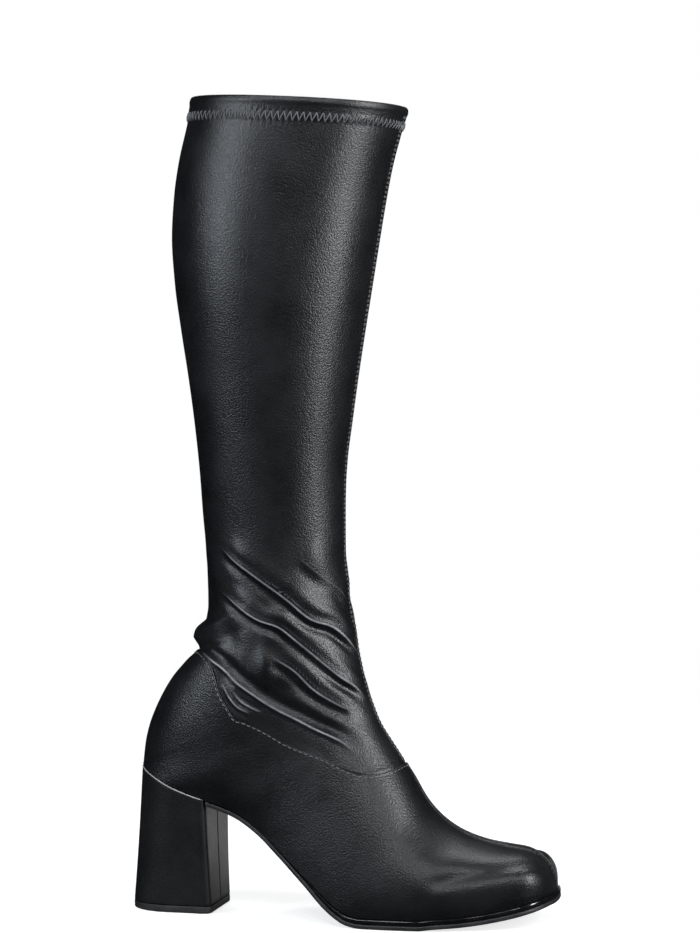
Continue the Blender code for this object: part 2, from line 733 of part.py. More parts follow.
def build_heel():
    bottom = TIP_THICKNESS + GAP
    levels = []
    for share, inset in HEEL_LEVELS:
        tip_l, tip_m = d_loop(-HEEL_TIP_LENGTH / 2.0, HEEL_TIP_LENGTH / 2.0, tip_half_widths, inset)
        seat_l, seat_m = d_loop(seat_back_x(), BREAST, seat_half_widths, inset)
        ring = []
        for low, high in ((tip_l, seat_l), (tip_m, seat_m)):
            flat = low + (high - low) * share
            top = heel_top(np.clip(high[:, 0], x_of(0.0), x_of(1.0)))
            z = bottom + (top - bottom) * share
            ring.append(np.column_stack((flat, z)))
        levels.append(ring)
    return stacked_solid("heel", levels, True, False)


def build_heel_tip():
    levels = []
    for share, inset in TIP_LEVELS:
        loops = d_loop(-HEEL_TIP_LENGTH / 2.0, HEEL_TIP_LENGTH / 2.0, tip_half_widths, inset)
        ring = [np.column_stack((side, np.full(len(side), TIP_THICKNESS * share))) for side in loops]
        levels.append(ring)
    return stacked_solid("heel_tip", levels, True, False)


def main():
    for old in list(bpy.data.objects):
        bpy.data.objects.remove(old, do_unlink=True)
    build_upper()
    sole_layer("insole", x_of(0.0), INSOLE_EDGE, insole_margin, feather, insole_top)
    sole_layer("outsole", BREAST + BREAST_CLEARANCE, OUTSOLE_EDGE, sole_margin, sole_under, outsole_top)
    sole_layer("midsole", MIDSOLE_START, MIDSOLE_EDGE, sole_margin, midsole_bottom, midsole_top)
    build_heel()
    build_heel_tip()


main()
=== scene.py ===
"""Shown model of the right go go boot: fine upper with its folds, hem, seams and stitches, sole and heel.

Lengths are in metres. X runs from heel to toe, Y to the inner side of the foot, and the floor is at Z = 0.
"""

import bpy
import numpy as np
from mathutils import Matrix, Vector


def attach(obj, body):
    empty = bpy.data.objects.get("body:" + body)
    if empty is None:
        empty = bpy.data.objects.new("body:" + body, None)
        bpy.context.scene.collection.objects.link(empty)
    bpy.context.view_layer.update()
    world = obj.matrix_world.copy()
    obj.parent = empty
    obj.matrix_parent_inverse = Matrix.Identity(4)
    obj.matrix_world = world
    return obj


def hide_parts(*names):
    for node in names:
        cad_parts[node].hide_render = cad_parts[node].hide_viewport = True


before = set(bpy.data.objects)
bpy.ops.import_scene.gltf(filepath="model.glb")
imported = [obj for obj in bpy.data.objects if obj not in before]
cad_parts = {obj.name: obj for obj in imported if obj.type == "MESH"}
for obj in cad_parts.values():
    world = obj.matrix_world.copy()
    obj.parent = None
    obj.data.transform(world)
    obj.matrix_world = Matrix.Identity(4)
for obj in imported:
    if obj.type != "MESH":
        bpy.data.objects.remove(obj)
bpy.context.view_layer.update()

MM = 0.001

# Lengths along the foot
LENGTH = 239.1 * MM
SEAT_BACK = 19.2 * MM
BREAST = 23.4 * MM
MIDSOLE_START = 82.7 * MM

# Heights
HEEL_HEIGHT = 76.0 * MM
TOE_SPRING = 11.8 * MM
INSTEP_RISE = 59.8 * MM
SHAFT_RISE = 381.3 * MM
COLLAR_FRONT_SHARE = 0.982

# Widths
BALL_WIDTH = 82.0 * MM
CALF_WIDTH = 102.0 * MM
HEEL_TIP_LENGTH = 51.0 * MM
HEEL_TIP_WIDTH = 45.0 * MM
HEEL_CORNER = 4.0 * MM
HEEL_RIM = 1.0 * MM
SOLE_MARGIN = 2.4 * MM

# Thicknesses and clearances
WALL = 1.8 * MM
PANEL_STEP = 0.7 * MM
HEM_STEP = 0.5 * MM
INSOLE_THICKNESS = 3.0 * MM
INSOLE_CLEARANCE = 0.47 * MM
BREAST_CLEARANCE = 0.54 * MM
OUTSOLE_THICKNESS = 2.6 * MM
MIDSOLE_THICKNESS = 2.6 * MM
TIP_THICKNESS = 4.0 * MM
GAP = 0.36 * MM

# Rounding of the outline at its two ends
HEEL_END = 27.0 * MM
HEEL_END_POWER = 2.1
TOE_END = 22.0 * MM
TOE_END_POWER = 2.5
SWELL_POWER = 12.0
RIDGE_SHARE = 0.7
RIDGE_FADE = 4
RIM_FADE = 0.35
HEEL_ROUND_SHARE = 0.5
UPRIGHT = 0.9995
TINY = 1e-7

INVERSE_SAMPLES = 2000
SLOPE_STEP = 0.5 * MM

# Underside of the sole: place along the foot, share of the heel height and share of the toe spring
SOLE_LINE_COLUMNS = ("along", "heel", "spring")
SOLE_LINE = (
    (0.000, 1.043, 0.000),
    (0.035, 0.998, 0.000),
    (0.061, 0.961, 0.000),
    (0.090, 0.919, 0.000),
    (0.139, 0.862, 0.000),
    (0.174, 0.828, 0.000),
    (0.246, 0.752, 0.000),
    (0.309, 0.630, 0.000),
    (0.363, 0.480, 0.000),
    (0.411, 0.342, 0.000),
    (0.444, 0.245, 0.000),
    (0.466, 0.176, 0.000),
    (0.486, 0.120, 0.000),
    (0.512, 0.060, 0.000),
    (0.540, 0.017, 0.000),
    (0.575, 0.000, 0.000),
    (0.710, 0.000, 0.000),
    (0.741, 0.000, 0.068),
    (0.797, 0.000, 0.161),
    (0.851, 0.000, 0.297),
    (0.903, 0.000, 0.492),
    (0.955, 0.000, 0.746),
    (1.000, 0.000, 1.000),
)

# Outline of the last where the upper meets the sole: shares of the ball width on each side
OUTLINE_COLUMNS = ("along", "lateral", "medial")
OUTLINE = (
    (0.000, 0.300, 0.300),
    (0.043, 0.318, 0.318),
    (0.097, 0.324, 0.322),
    (0.175, 0.322, 0.300),
    (0.263, 0.334, 0.278),
    (0.346, 0.378, 0.285),
    (0.431, 0.444, 0.334),
    (0.493, 0.485, 0.393),
    (0.556, 0.510, 0.449),
    (0.618, 0.517, 0.480),
    (0.681, 0.510, 0.498),
    (0.744, 0.485, 0.502),
    (0.806, 0.449, 0.495),
    (0.865, 0.402, 0.478),
    (0.924, 0.354, 0.454),
    (0.963, 0.329, 0.439),
    (1.000, 0.312, 0.424),
)

# How far the sole stands out past the outline, and how thick the midsole is, as shares
EDGE_COLUMNS = ("along", "margin", "midsole")
EDGE = (
    (0.000, 0.05, 0.00),
    (0.363, 0.05, 0.00),
    (0.427, 0.25, 0.28),
    (0.489, 0.70, 0.66),
    (0.576, 1.00, 1.00),
    (1.000, 1.00, 1.00),
)

# Foot sections from the toe to the end of the seat. Each runs from the sole up to the top line of the foot.
FOOT_COLUMNS = ("name", "sole", "top", "rise", "lateral", "medial", "middle", "top_round", "low_round")
FOOT = (
    ("toe tip", 1.0000, 1.0000, 0.000, 0.000, 0.000, 0.30, 2.6, 2.4),
    ("toe wall low", 0.9967, 0.9967, 0.121, 0.100, 0.100, 0.30, 2.7, 2.4),
    ("toe wall high", 0.9875, 0.9917, 0.198, 0.200, 0.210, 0.30, 2.8, 2.4),
    ("toe edge", 0.9711, 0.9818, 0.280, 0.270, 0.300, 0.30, 2.9, 2.4),
    ("toe top", 0.9451, 0.9639, 0.371, 0.320, 0.370, 0.30, 2.9, 2.4),
    ("toe box", 0.9117, 0.9352, 0.448, 0.350, 0.410, 0.30, 2.7, 2.4),
    ("toe box back", 0.8650, 0.8902, 0.515, 0.400, 0.440, 0.30, 2.45, 2.4),
    ("vamp front", 0.8018, 0.8357, 0.598, 0.455, 0.470, 0.28, 2.2, 2.4),
    ("vamp", 0.7315, 0.7836, 0.699, 0.495, 0.480, 0.26, 2.05, 2.4),
    ("ball", 0.6604, 0.7356, 0.833, 0.507, 0.475, 0.25, 1.95, 2.4),
    ("ball back", 0.5851, 0.6959, 1.007, 0.500, 0.455, 0.25, 1.9, 2.4),
    ("instep low", 0.5056, 0.6634, 1.132, 0.475, 0.420, 0.28, 1.9, 2.3),
    ("instep", 0.4262, 0.6345, 1.042, 0.448, 0.392, 0.33, 1.9, 2.2),
    ("instep high", 0.3425, 0.6065, 0.916, 0.420, 0.376, 0.38, 1.95, 2.2),
    ("waist", 0.2505, 0.5838, 0.811, 0.400, 0.371, 0.42, 2.0, 2.2),
    ("breast", 0.1586, 0.5663, 0.832, 0.393, 0.371, 0.46, 2.0, 2.2),
    ("seat", 0.0763, 0.5529, 0.854, 0.394, 0.377, 0.48, 2.05, 2.2),
    ("seat back", 0.0229, 0.5412, 0.899, 0.397, 0.382, 0.50, 2.1, 2.2),
    ("seat end", 0.0000, 0.5320, 1.000, 0.400, 0.388, 0.52, 2.1, 2.2),
)

# Shaft sections from the seat up. Each is a closed ring from the back line to the front line.
SHAFT_COLUMNS = (
    "name", "back", "back_up", "front", "front_up", "lateral", "medial", "middle", "front_round",
    "back_round",
)
SHAFT = (
    ("counter low", 0.0055, 0.0307, 0.5244, 0.0267, 0.324, 0.314, 0.54, 2.1, 2.2),
    ("counter", 0.0164, 0.0606, 0.5173, 0.0535, 0.324, 0.316, 0.56, 2.1, 2.15),
    ("counter high", 0.0414, 0.0982, 0.5106, 0.0802, 0.324, 0.317, 0.57, 2.1, 2.1),
    ("counter top", 0.0720, 0.1307, 0.5052, 0.1069, 0.324, 0.318, 0.57, 2.1, 2.05),
    ("notch low", 0.1049, 0.1554, 0.5015, 0.1289, 0.325, 0.320, 0.57, 2.1, 2.0),
    ("notch", 0.1364, 0.1775, 0.4977, 0.1494, 0.327, 0.322, 0.56, 2.1, 2.0),
    ("fold", 0.1371, 0.1996, 0.4952, 0.1698, 0.329, 0.324, 0.55, 2.1, 2.0),
    ("fold top", 0.1568, 0.2204, 0.4935, 0.1903, 0.329, 0.325, 0.54, 2.1, 2.0),
    ("ankle", 0.1631, 0.2451, 0.4927, 0.2123, 0.331, 0.327, 0.53, 2.1, 2.0),
    ("ankle high", 0.1614, 0.2840, 0.4927, 0.2437, 0.335, 0.331, 0.52, 2.1, 2.05),
    ("shin low", 0.1573, 0.3308, 0.4927, 0.2783, 0.343, 0.339, 0.52, 2.1, 2.05),
    ("shin", 0.1502, 0.3828, 0.4935, 0.3223, 0.357, 0.353, 0.52, 2.1, 2.1),
    ("calf low", 0.1431, 0.4426, 0.4981, 0.3758, 0.378, 0.373, 0.51, 2.1, 2.1),
    ("calf rise", 0.1313, 0.5127, 0.5094, 0.4403, 0.404, 0.398, 0.50, 2.1, 2.1),
    ("calf", 0.1159, 0.5855, 0.5236, 0.5204, 0.433, 0.425, 0.50, 2.1, 2.1),
    ("calf high", 0.0987, 0.6557, 0.5403, 0.6053, 0.463, 0.455, 0.49, 2.1, 2.1),
    ("calf top", 0.0832, 0.7258, 0.5579, 0.6887, 0.486, 0.478, 0.49, 2.1, 2.1),
    ("shaft", 0.0761, 0.7934, 0.5755, 0.7689, 0.498, 0.492, 0.49, 2.1, 2.1),
    ("shaft high", 0.0819, 0.8558, 0.5926, 0.8428, 0.502, 0.498, 0.49, 2.1, 2.1),
    ("shaft upper", 0.0958, 0.9103, 0.6093, 0.9072, 0.500, 0.496, 0.49, 2.15, 2.15),
    ("hem line", 0.1159, 0.9636, 0.6278, 0.9601, 0.496, 0.492, 0.49, 2.15, 2.15),
    ("collar", 0.1267, 1.0000, 0.6412, 1.0000, 0.494, 0.490, 0.49, 2.15, 2.15),
)

# Top edge of the foot panel: share of the way round from the back (0) to the front (1), and section number
SEAM_COLUMNS = ("round", "section")
SEAM = (
    (0.00, 23.80),
    (0.20, 23.45),
    (0.38, 22.00),
    (0.458, 20.50),
    (0.495, 19.20),
    (0.512, 17.90),
    (0.530, 16.20),
    (0.550, 14.70),
    (0.575, 13.75),
    (0.62, 12.85),
    (0.70, 12.25),
    (0.80, 11.85),
    (1.00, 11.60),
)
SEAM_ROUNDING = 0.030
SEAM_SAMPLES = 1000
SEAM_REACH = 50

SEAT_END = float(len(FOOT) - 1)
COLLAR = float(len(FOOT) + len(SHAFT) - 1)
HEM_LINE = COLLAR - 1.0


def column(table, columns, name):
    place = columns.index(name)
    return np.array([row[place] for row in table], dtype=float)


def monotone_slopes(xs, ys):
    steps = np.diff(xs)
    secants = np.diff(ys) / steps
    slopes = np.zeros_like(ys)
    slopes[0] = secants[0]
    slopes[-1] = secants[-1]
    before, after = secants[:-1], secants[1:]
    same_way = before * after > 0.0
    weight_before = 2.0 * steps[1:] + steps[:-1]
    weight_after = steps[1:] + 2.0 * steps[:-1]
    safe_before = np.where(same_way, before, 1.0)
    safe_after = np.where(same_way, after, 1.0)
    mean = (weight_before + weight_after) / (weight_before / safe_before + weight_after / safe_after)
    slopes[1:-1] = np.where(same_way, mean, 0.0)
    return slopes


def between(t, step, values, slopes, i):
    """The curve with the given slopes between values i and i + 1, at share t of the step."""
    start = (1.0 + 2.0 * t) * (1.0 - t) ** 2 * values[i] + t * (1.0 - t) ** 2 * step * slopes[i]
    end = t**2 * (3.0 - 2.0 * t) * values[i + 1] - t**2 * (1.0 - t) * step * slopes[i + 1]
    return start + end


def smooth(xs, ys, x):
    """A curve through the table's points that doesn't swing past them."""
    slopes = monotone_slopes(xs, ys)
    x = np.clip(x, xs[0], xs[-1])
    i = np.clip(np.searchsorted(xs, x, side="right") - 1, 0, len(xs) - 2)
    step = xs[i + 1] - xs[i]
    return between((x - xs[i]) / step, step, ys, slopes, i)


def along_of(x):
    return (x + SEAT_BACK) / LENGTH


def x_of(along):
    return along * LENGTH - SEAT_BACK


def from_table(table, columns, name, x):
    return smooth(column(table, columns, "along"), column(table, columns, name), along_of(x))


def sole_under(x):
    heel = from_table(SOLE_LINE, SOLE_LINE_COLUMNS, "heel", x)
    spring = from_table(SOLE_LINE, SOLE_LINE_COLUMNS, "spring", x)
    return HEEL_HEIGHT * heel + TOE_SPRING * spring


def slant(x):
    """How much longer an upright thickness is than one square to the sole."""
    low = np.clip(x - SLOPE_STEP, x_of(0.0), x_of(1.0))
    high = np.clip(x + SLOPE_STEP, x_of(0.0), x_of(1.0))
    return np.hypot(1.0, (sole_under(high) - sole_under(low)) / (high - low))


def outsole_top(x):
    return sole_under(x) + OUTSOLE_THICKNESS * slant(x)


def midsole_bottom(x):
    return outsole_top(x) + GAP * slant(x)


def midsole_top(x):
    return midsole_bottom(x) + MIDSOLE_THICKNESS * from_table(EDGE, EDGE_COLUMNS, "midsole", x) * slant(x)


def feather(x):
    """Height of the line where the upper meets the sole."""
    return midsole_top(x) + GAP * slant(x)


def heel_top(x):
    return feather(x) - GAP * slant(x)


def outline(x):
    """(lateral, medial) distances of the last's outline from the centre plane."""
    lateral = BALL_WIDTH * from_table(OUTLINE, OUTLINE_COLUMNS, "lateral", x)
    medial = BALL_WIDTH * from_table(OUTLINE, OUTLINE_COLUMNS, "medial", x)
    centre = (medial - lateral) / 2.0
    half = (medial + lateral) / 2.0
    from_heel = np.clip(1.0 - (x - x_of(0.0)) / HEEL_END, 0.0, 1.0)
    from_toe = np.clip(1.0 - (x_of(1.0) - x) / TOE_END, 0.0, 1.0)
    half = half * (1.0 - from_heel**HEEL_END_POWER) ** (1.0 / HEEL_END_POWER)
    half = half * (1.0 - from_toe**TOE_END_POWER) ** (1.0 / TOE_END_POWER)
    return half - centre, half + centre


def sections():
    """One row of lengths for each section of the last, from the toe to the collar."""
    rows = []
    for row in FOOT:
        values = dict(zip(FOOT_COLUMNS, row))
        sole_x = x_of(values["sole"])
        low = float(feather(sole_x))
        sides = (BALL_WIDTH * values["lateral"], BALL_WIDTH * values["medial"])
        ends = (sole_x, low, x_of(values["top"]), low + INSTEP_RISE * values["rise"])
        rows.append((*ends, *sides, values["middle"], values["top_round"], values["low_round"]))
    seat_height = float(feather(x_of(0.0)))
    instep_height = seat_height + INSTEP_RISE
    collar_front = seat_height + SHAFT_RISE * COLLAR_FRONT_SHARE
    for row in SHAFT:
        values = dict(zip(SHAFT_COLUMNS, row))
        back = (x_of(values["back"]), seat_height + SHAFT_RISE * values["back_up"])
        front = (x_of(values["front"]), instep_height + (collar_front - instep_height) * values["front_up"])
        sides = (CALF_WIDTH * values["lateral"], CALF_WIDTH * values["medial"])
        rows.append((*back, *front, *sides, values["middle"], values["front_round"], values["back_round"]))
    return np.array(rows)


def upper_points(section, share):
    """Points of the upper's outer face. Share 0 is the lateral sole edge or back line, 1 the medial one."""
    table = sections()
    numbers = np.arange(len(table), dtype=float)
    low_x, low_z, top_x, top_z, lateral, medial, middle, top_round, low_round = (
        smooth(numbers, table[:, k], section) for k in range(table.shape[1])
    )
    on_sole = section <= SEAT_END
    sole_lateral, sole_medial = outline(low_x)
    sole_lateral = np.where(on_sole, sole_lateral, 0.0)
    sole_medial = np.where(on_sole, sole_medial, 0.0)
    low_z = np.where(on_sole, feather(low_x), low_z)
    low_y = (sole_medial - sole_lateral) / 2.0
    top_lateral, top_medial = outline(top_x)
    top_y = np.where(on_sole, RIDGE_SHARE * (top_medial - top_lateral) / 2.0, 0.0)
    fade = np.clip(section / SEAT_END, 0.0, 1.0)
    top_y = top_y * (1.0 - fade**RIDGE_FADE)
    is_medial = share > 0.5
    half = np.where(is_medial, sole_medial, -sole_lateral) - low_y
    side = np.where(is_medial, 1.0, -1.0)
    sole_half = np.abs(half)
    swell = np.where(is_medial, medial, lateral) - side * low_y
    swell = np.maximum(swell, 0.0)
    widest = (sole_half**SWELL_POWER + swell**SWELL_POWER) ** (1.0 / SWELL_POWER)
    widest = np.maximum(widest, TINY)
    ratio = np.clip(sole_half / widest, 0.0, UPRIGHT)
    reach = 1.0 - np.abs(2.0 * share - 1.0)
    start = np.arccos(ratio ** (low_round / 2.0))
    depth = middle / np.sin(start) ** (2.0 / low_round)
    angle_low = start * (1.0 - np.clip(reach / middle, 0.0, 1.0))
    angle_high = np.pi / 2.0 * np.clip((reach - middle) / (1.0 - middle), 0.0, 1.0)
    upward = reach > middle
    rise_low = middle - depth * np.sin(angle_low) ** (2.0 / low_round)
    rise_high = middle + (1.0 - middle) * np.sin(angle_high) ** (2.0 / top_round)
    rise = np.where(upward, rise_high, rise_low)
    wide_y = low_y + side * widest
    y_low = low_y + side * widest * np.cos(angle_low) ** (2.0 / low_round)
    y_high = top_y + (wide_y - top_y) * np.clip(np.cos(angle_high), 0.0, 1.0) ** (2.0 / top_round)
    y = np.where(upward, y_high, y_low)
    x = low_x + (top_x - low_x) * rise
    z = low_z + (top_z - low_z) * rise
    return np.stack((x, y, z), axis=-1)


def seam_section(share):
    """Place of the foot panel's top edge, with the corners of the table's curve rounded."""
    reach = 1.0 - np.abs(2.0 * share - 1.0)
    fine = np.linspace(0.0, 1.0, SEAM_SAMPLES + 1)
    section = smooth(column(SEAM, SEAM_COLUMNS, "round"), column(SEAM, SEAM_COLUMNS, "section"), fine)
    weights = np.exp(-((np.arange(-SEAM_REACH, SEAM_REACH + 1) / SEAM_SAMPLES / SEAM_ROUNDING) ** 2))
    rounded = np.convolve(np.pad(section, SEAM_REACH, mode="edge"), weights / weights.sum(), mode="valid")
    return np.interp(reach, fine, rounded)


def section_at(x):
    """The number of the foot section whose foot stands at x."""
    numbers = np.linspace(0.0, SEAT_END, INVERSE_SAMPLES)
    rows = sections()
    places = smooth(np.arange(len(rows), dtype=float), rows[:, 0], numbers)
    return np.interp(x, places[::-1], numbers[::-1])


def inset_loop(points, distance):
    """The two-sided outline (lateral points, medial points) moved in along its own normals."""
    lateral, medial = points
    loop = np.concatenate((lateral, medial[::-1]))
    ahead = np.roll(loop, -1, axis=0)
    behind = np.roll(loop, 1, axis=0)
    count = len(lateral)
    tangent = ahead - behind
    length = np.maximum(np.linalg.norm(tangent, axis=1, keepdims=True), 1e-9)
    tangent = tangent / length
    inward = np.stack((-tangent[:, 1], tangent[:, 0]), axis=1)
    distance = np.concatenate((distance, distance[::-1]))
    moved = loop + inward * distance[:, None]
    return moved[:count], moved[count:][::-1]


# Fineness of the shown meshes
COLUMNS = 340
SHARE_SAMPLES = 4001
SEAM_CROWD = 1.2
SEAM_CROWD_REACH = 0.05
STEEP_CROWD = 1.4
STEEP_PLACE = 0.51
STEEP_REACH = 0.09
PANEL_END_STATIONS = 34
PANEL_MIDDLE_STATIONS = 96
PANEL_SEAT_ROWS = 44
SHAFT_ROWS = 240
ANKLE_CROWD = 3.6
ANKLE_TOP = 0.34
ANKLE_FADE = 0.14
HEM_ROWS = 16
SOLE_END_STATIONS = 30
SOLE_MIDDLE_STATIONS = 110
ROUND_STEPS = 5
HEEL_BACK_STATIONS = 44
HEEL_SIDE_STATIONS = 14
HEEL_CORNER_STATIONS = 8

# Edge of the foot panel as it rolls down onto the shaft: how far past the seam, and how high
PANEL_EDGE = (
    (0.10 * MM, 0.74 * MM),
    (0.34 * MM, 0.66 * MM),
    (0.52 * MM, 0.44 * MM),
    (0.58 * MM, 0.12 * MM),
    (0.58 * MM, -0.60 * MM),
)
TUCK = 3.0 * MM
TUCK_DEPTH = 0.45 * MM
HALF_TUCK = 0.4 * TUCK
HALF_TUCK_DEPTH = 0.5 * TUCK_DEPTH

# Narrow trough of the shaft just above the foot panel's edge
SEAM_TROUGH = 0.50 * MM
SEAM_TROUGH_AT = 1.1 * MM
SEAM_TROUGH_WIDTH = 0.6 * MM

# Front and back seams of the leather
SEAM_GROOVE = 0.42 * MM
SEAM_GROOVE_WIDTH = 0.50 * MM
SEAM_RIDGE = 0.30 * MM
SEAM_RIDGE_WIDTH = 1.0 * MM
SEAM_RIDGE_AT = 1.6 * MM

# Hem: soft puff above the stitches and the pull of the thread
HEM_PUFF_LENGTH = 3.5 * MM
ZIGZAG_LOW = 1.0 * MM
ZIGZAG_HIGH = 6.6 * MM
ZIGZAG_PITCH = 3.6 * MM
ZIGZAG_PULL = 0.34 * MM
LINING_DEPTH = 0.25 * MM
HEM_ROLL = 0.45 * MM
HEM_ROLL_AT = 1.6 * MM
HEM_ROLL_REACH = 1.5 * MM

# Creases of the ankle, outer side, from the heel end to the front: points in millimetres
CREASES = {
    "high": (
        (33.5, -27.0, 210.4), (44.5, -31.0, 201.8), (55.2, -33.4, 194.2), (72.2, -32.1, 182.0),
        (88.7, -24.0, 168.2), (93.1, -20.4, 167.1), (102.6, -9.5, 156.9), (107.2, 0.9, 145.7),
    ),
    "middle": (
        (33.0, -24.0, 185.0), (39.8, -28.7, 180.6), (51.5, -32.7, 172.7), (59.8, -33.2, 168.4),
        (66.0, -32.8, 167.3), (76.8, -29.7, 158.8), (88.8, -24.3, 147.9), (100.4, -17.2, 136.7),
        (110.1, -9.0, 127.5), (114.1, -6.1, 121.0),
    ),
    "top": ((78.3, -30.6, 206.2), (90.5, -21.8, 194.0), (98.2, -10.6, 185.3), (101.1, -3.1, 177.4)),
    "low": (
        (17.9, -16.5, 149.9), (25.0, -25.5, 147.0), (33.4, -30.9, 143.2), (40.8, -32.6, 136.2),
        (53.8, -32.9, 127.5), (65.6, -31.4, 119.8), (77.9, -29.5, 113.7), (89.6, -27.5, 107.6),
        (101.7, -25.2, 102.0), (112.5, -24.2, 94.9),
    ),
    "short": (
        (64.0, -31.5, 149.0), (75.7, -29.7, 141.9), (87.4, -25.6, 129.9), (98.5, -21.4, 122.4),
        (109.3, -15.6, 116.3),
    ),
    "heel one": ((35.5, -31.6, 133.0), (39.1, -32.7, 126.6), (44.4, -32.8, 120.5), (52.5, -32.6, 116.7)),
    "heel two": ((41.5, -32.6, 129.6), (45.6, -32.8, 124.4), (52.0, -32.7, 120.4), (59.0, -32.4, 117.4)),
}

# Height, width and place below the crest line of each crease's crest, hollow and swell, in millimetres, then
# how strong the painted highlight along its crest is and how much higher it runs on the inner side
CREASE_COLUMNS = (
    "path", "crest", "crest_width", "hollow", "hollow_width", "hollow_at", "swell", "swell_width", "swell_at",
    "highlight_level", "inner_shift",
)
CREASE_SHAPES = (
    ("high", 1.25, 2.4, 2.00, 2.7, 3.4, 1.60, 4.6, -7.0, 1.0, 6.0),
    ("middle", 1.30, 2.2, 1.80, 2.6, 3.2, 1.40, 4.4, -5.6, 1.0, -5.0),
    ("top", 0.35, 2.6, 0.70, 3.0, 4.5, 0.80, 6.0, -6.5, 0.15, 3.0),
    ("low", 1.25, 1.9, 2.10, 3.2, -5.0, 0.30, 4.5, 6.0, 0.9, -1.0),
    ("short", 1.10, 2.2, 1.70, 2.8, 3.8, 1.30, 4.2, -5.4, 0.7, 7.0),
    ("heel one", 0.55, 1.0, 0.50, 1.1, 2.0, 0.0, 1.0, 0.0, 0.7, 2.0),
    ("heel two", 0.45, 0.9, 0.40, 1.0, -1.8, 0.0, 1.0, 0.0, 0.5, 5.0),
)
CREST_STEEP = 0.55
CREASE_START_FADE = 0.16
CREASE_END_FADE = 0.22
CREASE_REACH = 22.0
SWING = 0.2
SWING_ALONG = 9.0
SWING_APART = 2.0
PATH_SMOOTHING = 6
LAID_REACH = 9.0
LAID_SOFTNESS = 0.5
# Painted highlight along the crease crests: reach of its mask, width and offset of its lighter line, and,
# below, its share on the inner side
HIGHLIGHT_REACH = 3.0
HIGHLIGHT_WIDTH = 0.75
HIGHLIGHT_AT = 0.35
INNER_STRENGTH = 0.85
INNER_HIGHLIGHT = 0.6

# Soft ripples of the shaft in millimetres: height and size of the bumps, and where the ankle's end
RIPPLE = 0.22
RIPPLE_SIZE = 7.0
RIPPLE_STRETCH = np.array((0.55, 0.8, 1.0))
RIPPLE_SLANT = np.array((0.0, 0.0, 0.55))
RIPPLE_SEED = 3
WAVE = 0.35
WAVE_SIZE = 26.0
WAVE_STRETCH = np.array((1.0, 1.0, 0.35))
WAVE_SEED = 5
ANKLE_HEIGHT = 235.0
ANKLE_LENGTH = 60.0

# Wide soft dents and swells of the ankle in millimetres: place, reach across and down, and height
DENT_COLUMNS = ("x", "y", "z", "wide", "tall", "height")
DENTS = (
    (38.0, -31.0, 139.0, 6.0, 7.0, -1.6),
    (61.0, -33.0, 143.0, 5.8, 11.0, 2.8),
    (40.0, -32.0, 156.0, 6.0, 8.0, -1.2),
    (72.0, -31.5, 152.0, 5.0, 8.0, -0.8),
    (72.0, -31.0, 131.0, 8.0, 5.5, -1.0),
    (62.0, -33.0, 178.0, 9.0, 5.0, -0.9),
    (36.0, -29.0, 166.0, 7.0, 9.0, -0.6),
    (46.0, -33.0, 205.0, 10.0, 12.0, 0.6),
    (98.0, -22.0, 108.0, 8.0, 9.0, 0.6),
    (36.0, 29.0, 143.0, 7.0, 8.0, -1.2),
    (58.0, 33.0, 149.0, 7.0, 12.0, 1.1),
    (72.0, 31.0, 133.0, 8.0, 6.0, -1.0),
)
DENT_DEEP = 14.0
BACK_LIP = 3.2 * MM
BACK_LIP_RISE = 9.0 * MM
BACK_LIP_BELOW = 4.2 * MM
BACK_LIP_ABOVE = 11.5 * MM
BACK_LIP_ROUND = 0.5 * MM
BACK_LIP_REACH = 18.0 * MM
BACK_NOTCH = 0.9 * MM
BACK_NOTCH_RISE = 1.6 * MM
BACK_NOTCH_LENGTH = 2.2 * MM

# Ledge where the toe's flat top turns down into its side, in millimetres
TOE_LEDGE = (
    (152.0, -40.5, 24.0), (163.0, -39.6, 28.6), (173.4, -36.8, 31.3), (187.0, -31.0, 33.6),
    (200.0, -23.4, 35.2), (211.5, -13.6, 36.1), (217.0, -4.0, 35.4),
)
TOE_SHAPE = ("toe", 0.0, 1.0, 1.50, 4.2, 1.6, 0.40, 6.5, -9.5, 0.0, 0.0)

# Foot panel: its soft bumps (height, size, seed), the fade of its seams and bumps at the toe in rows, the
# back seam's strength, and the lower edge turned in onto the sole (how far down and how far in)
PANEL_BUMPS = ((0.10 * MM, 0.021, 11), (0.05 * MM, 0.008, 12))
TOE_FADE_ROWS = 12.0
OFF_SEAM = 0.05
PANEL_BACK_SEAM = 0.7
TURN_CENTRE = 2.0 * MM
TURN_IN = ((0.28 * MM, 0.35 * MM), (0.34 * MM, 3.0 * MM))

# Shaft: how the folds fade towards the panel's edge and the collar, and the steps of the rolled rim
FOLD_FADE = 5.0 * MM
FOLD_LEFT = 0.3
COLLAR_CLEAR = 10.0 * MM
COLLAR_FADE = 30.0 * MM
SHAFT_BACK_SEAM = 0.8
THREAD_PULL_WIDTH = 0.9 * MM
CORNER_PULL_WIDTH = 1.2 * MM
RIM_STEPS = 8
TURNING_ROWS = 6

# Lining: it keeps one column, foot row and shaft row of so many, and has soft bumps and a share of the folds
LINING_COLUMNS = 3
LINING_FOOT_ROWS = 3
LINING_SHAFT_ROWS = 4
LINING_BUMPS = (0.12 * MM, 0.012, 21)
LINING_FOLDS = 0.7

# Large odd numbers that mix a lattice corner's place into a number that looks random
LATTICE_MIX = np.array((73856093, 19349663, 83492791))
LATTICE_SEED = 2654435


